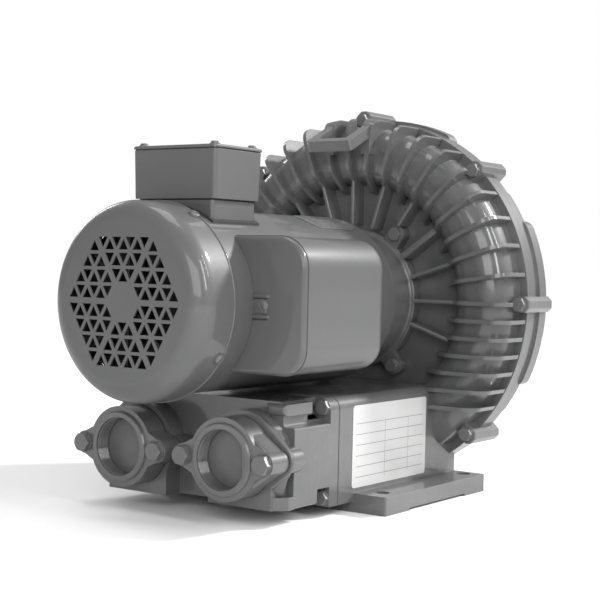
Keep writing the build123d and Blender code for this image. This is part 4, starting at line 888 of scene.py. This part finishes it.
def placeCamera(view=cameraView):
    camera = bpy.data.cameras.new("blowerCamera")
    camera.lens = view["lens"]
    camera.sensor_width = 36
    rig = bpy.data.objects.new("blowerCamera", camera)
    turn = Matrix.Rotation(math.radians(view["turn"]), 4, "Z")
    tilt = Matrix.Rotation(math.radians(90 + view["tilt"]), 4, "X")
    roll = Matrix.Rotation(math.radians(view["roll"]), 4, "Z")
    rig.matrix_world = Matrix.Translation(view["position"]) @ turn @ tilt @ roll
    bpy.context.scene.collection.objects.link(rig)
    bpy.context.scene.camera = rig
    print("camera placed")


studio = {
    "floorSize": 30.0, "floorShade": 0.87, "backdrop": 1.0, "ambient": 0.50, "aim": (0, -0.05, 0.2),
    "sunFrom": (0.45, 0.70, 0.55), "sunPower": 3.9, "sunAngle": 7}
softBoxes = {  # name: direction from the machine, distance, width, height, watts
    "fillBox": ((0.48, -0.82, 0.30), 3.0, 2.0, 1.4, 46),
    "sideBox": ((0.86, -0.22, 0.44), 2.6, 0.35, 1.3, 26),
    "rimBox": ((-0.86, 0.32, 0.40), 2.8, 0.5, 1.1, 12),
    "ribBox": ((0.80, 0.16, 0.58), 2.5, 0.10, 0.9, 10),
    "topBox": ((-0.1, -0.1, 1.0), 2.4, 1.4, 1.0, 20),
}


def paperFloor(look=studio):
    # matt pale paper, so wide that no edge shows
    bm = bmesh.new()
    bmesh.ops.create_grid(bm, x_segments=1, y_segments=1, size=look["floorSize"])
    mesh = bpy.data.meshes.new("studioFloor")
    bm.to_mesh(mesh)
    bm.free()
    floor = bpy.data.objects.new("studioFloor", mesh)
    bpy.context.scene.collection.objects.link(floor)
    s = Shader("floorPaper")
    grain = s.noise(300.0, 3.0)
    colour = s.mix(s.noise(2.0), shade(look["floorShade"]), shade(look["floorShade"] * 0.98))
    normal = s.bump(grain, 0.00003)
    mesh.materials.append(s.finish(colour, 0.8 + grain * 0.1, normal, Specular_IOR_Level=0.0))


def whiteSky(look=studio):
    # white to look at, dimmer where it lights the machine
    sky = bpy.data.worlds.new("studioSky")
    sky.use_nodes = True
    seen = sky.node_tree.nodes.new("ShaderNodeLightPath")
    level = sky.node_tree.nodes.new("ShaderNodeMapRange")
    level.inputs["To Min"].default_value = look["ambient"]
    level.inputs["To Max"].default_value = look["backdrop"]
    background = sky.node_tree.nodes["Background"]
    background.inputs["Color"].default_value = (1, 1, 1, 1)
    sky.node_tree.links.new(seen.outputs["Is Camera Ray"], level.inputs["Value"])
    sky.node_tree.links.new(level.outputs["Result"], background.inputs["Strength"])
    bpy.context.scene.world = sky


def hang(name, light, direction):
    # a lamp that shines from direction towards the machine
    lamp = bpy.data.objects.new(name, light)
    lamp.rotation_mode = "QUATERNION"
    lamp.rotation_quaternion = (-Vector(direction)).to_track_quat("-Z", "Y")
    bpy.context.scene.collection.objects.link(lamp)
    return lamp


def lightStudio(look=studio):
    sun = bpy.data.lights.new("keySun", "SUN")
    sun.energy = look["sunPower"]
    sun.angle = math.radians(look["sunAngle"])
    hang("keySun", sun, look["sunFrom"])
    for name, (direction, distance, width, height, watts) in softBoxes.items():
        light = bpy.data.lights.new(name, "AREA")
        light.shape = "RECTANGLE"
        light.size = width
        light.size_y = height
        light.energy = watts
        away = Vector(direction).normalized()
        hang(name, light, away).location = Vector(look["aim"]) + away * distance
    bpy.context.scene.view_settings.view_transform = "Standard"
    print("studio ready")


placeCamera()
paperFloor()
whiteSky()
lightStudio()
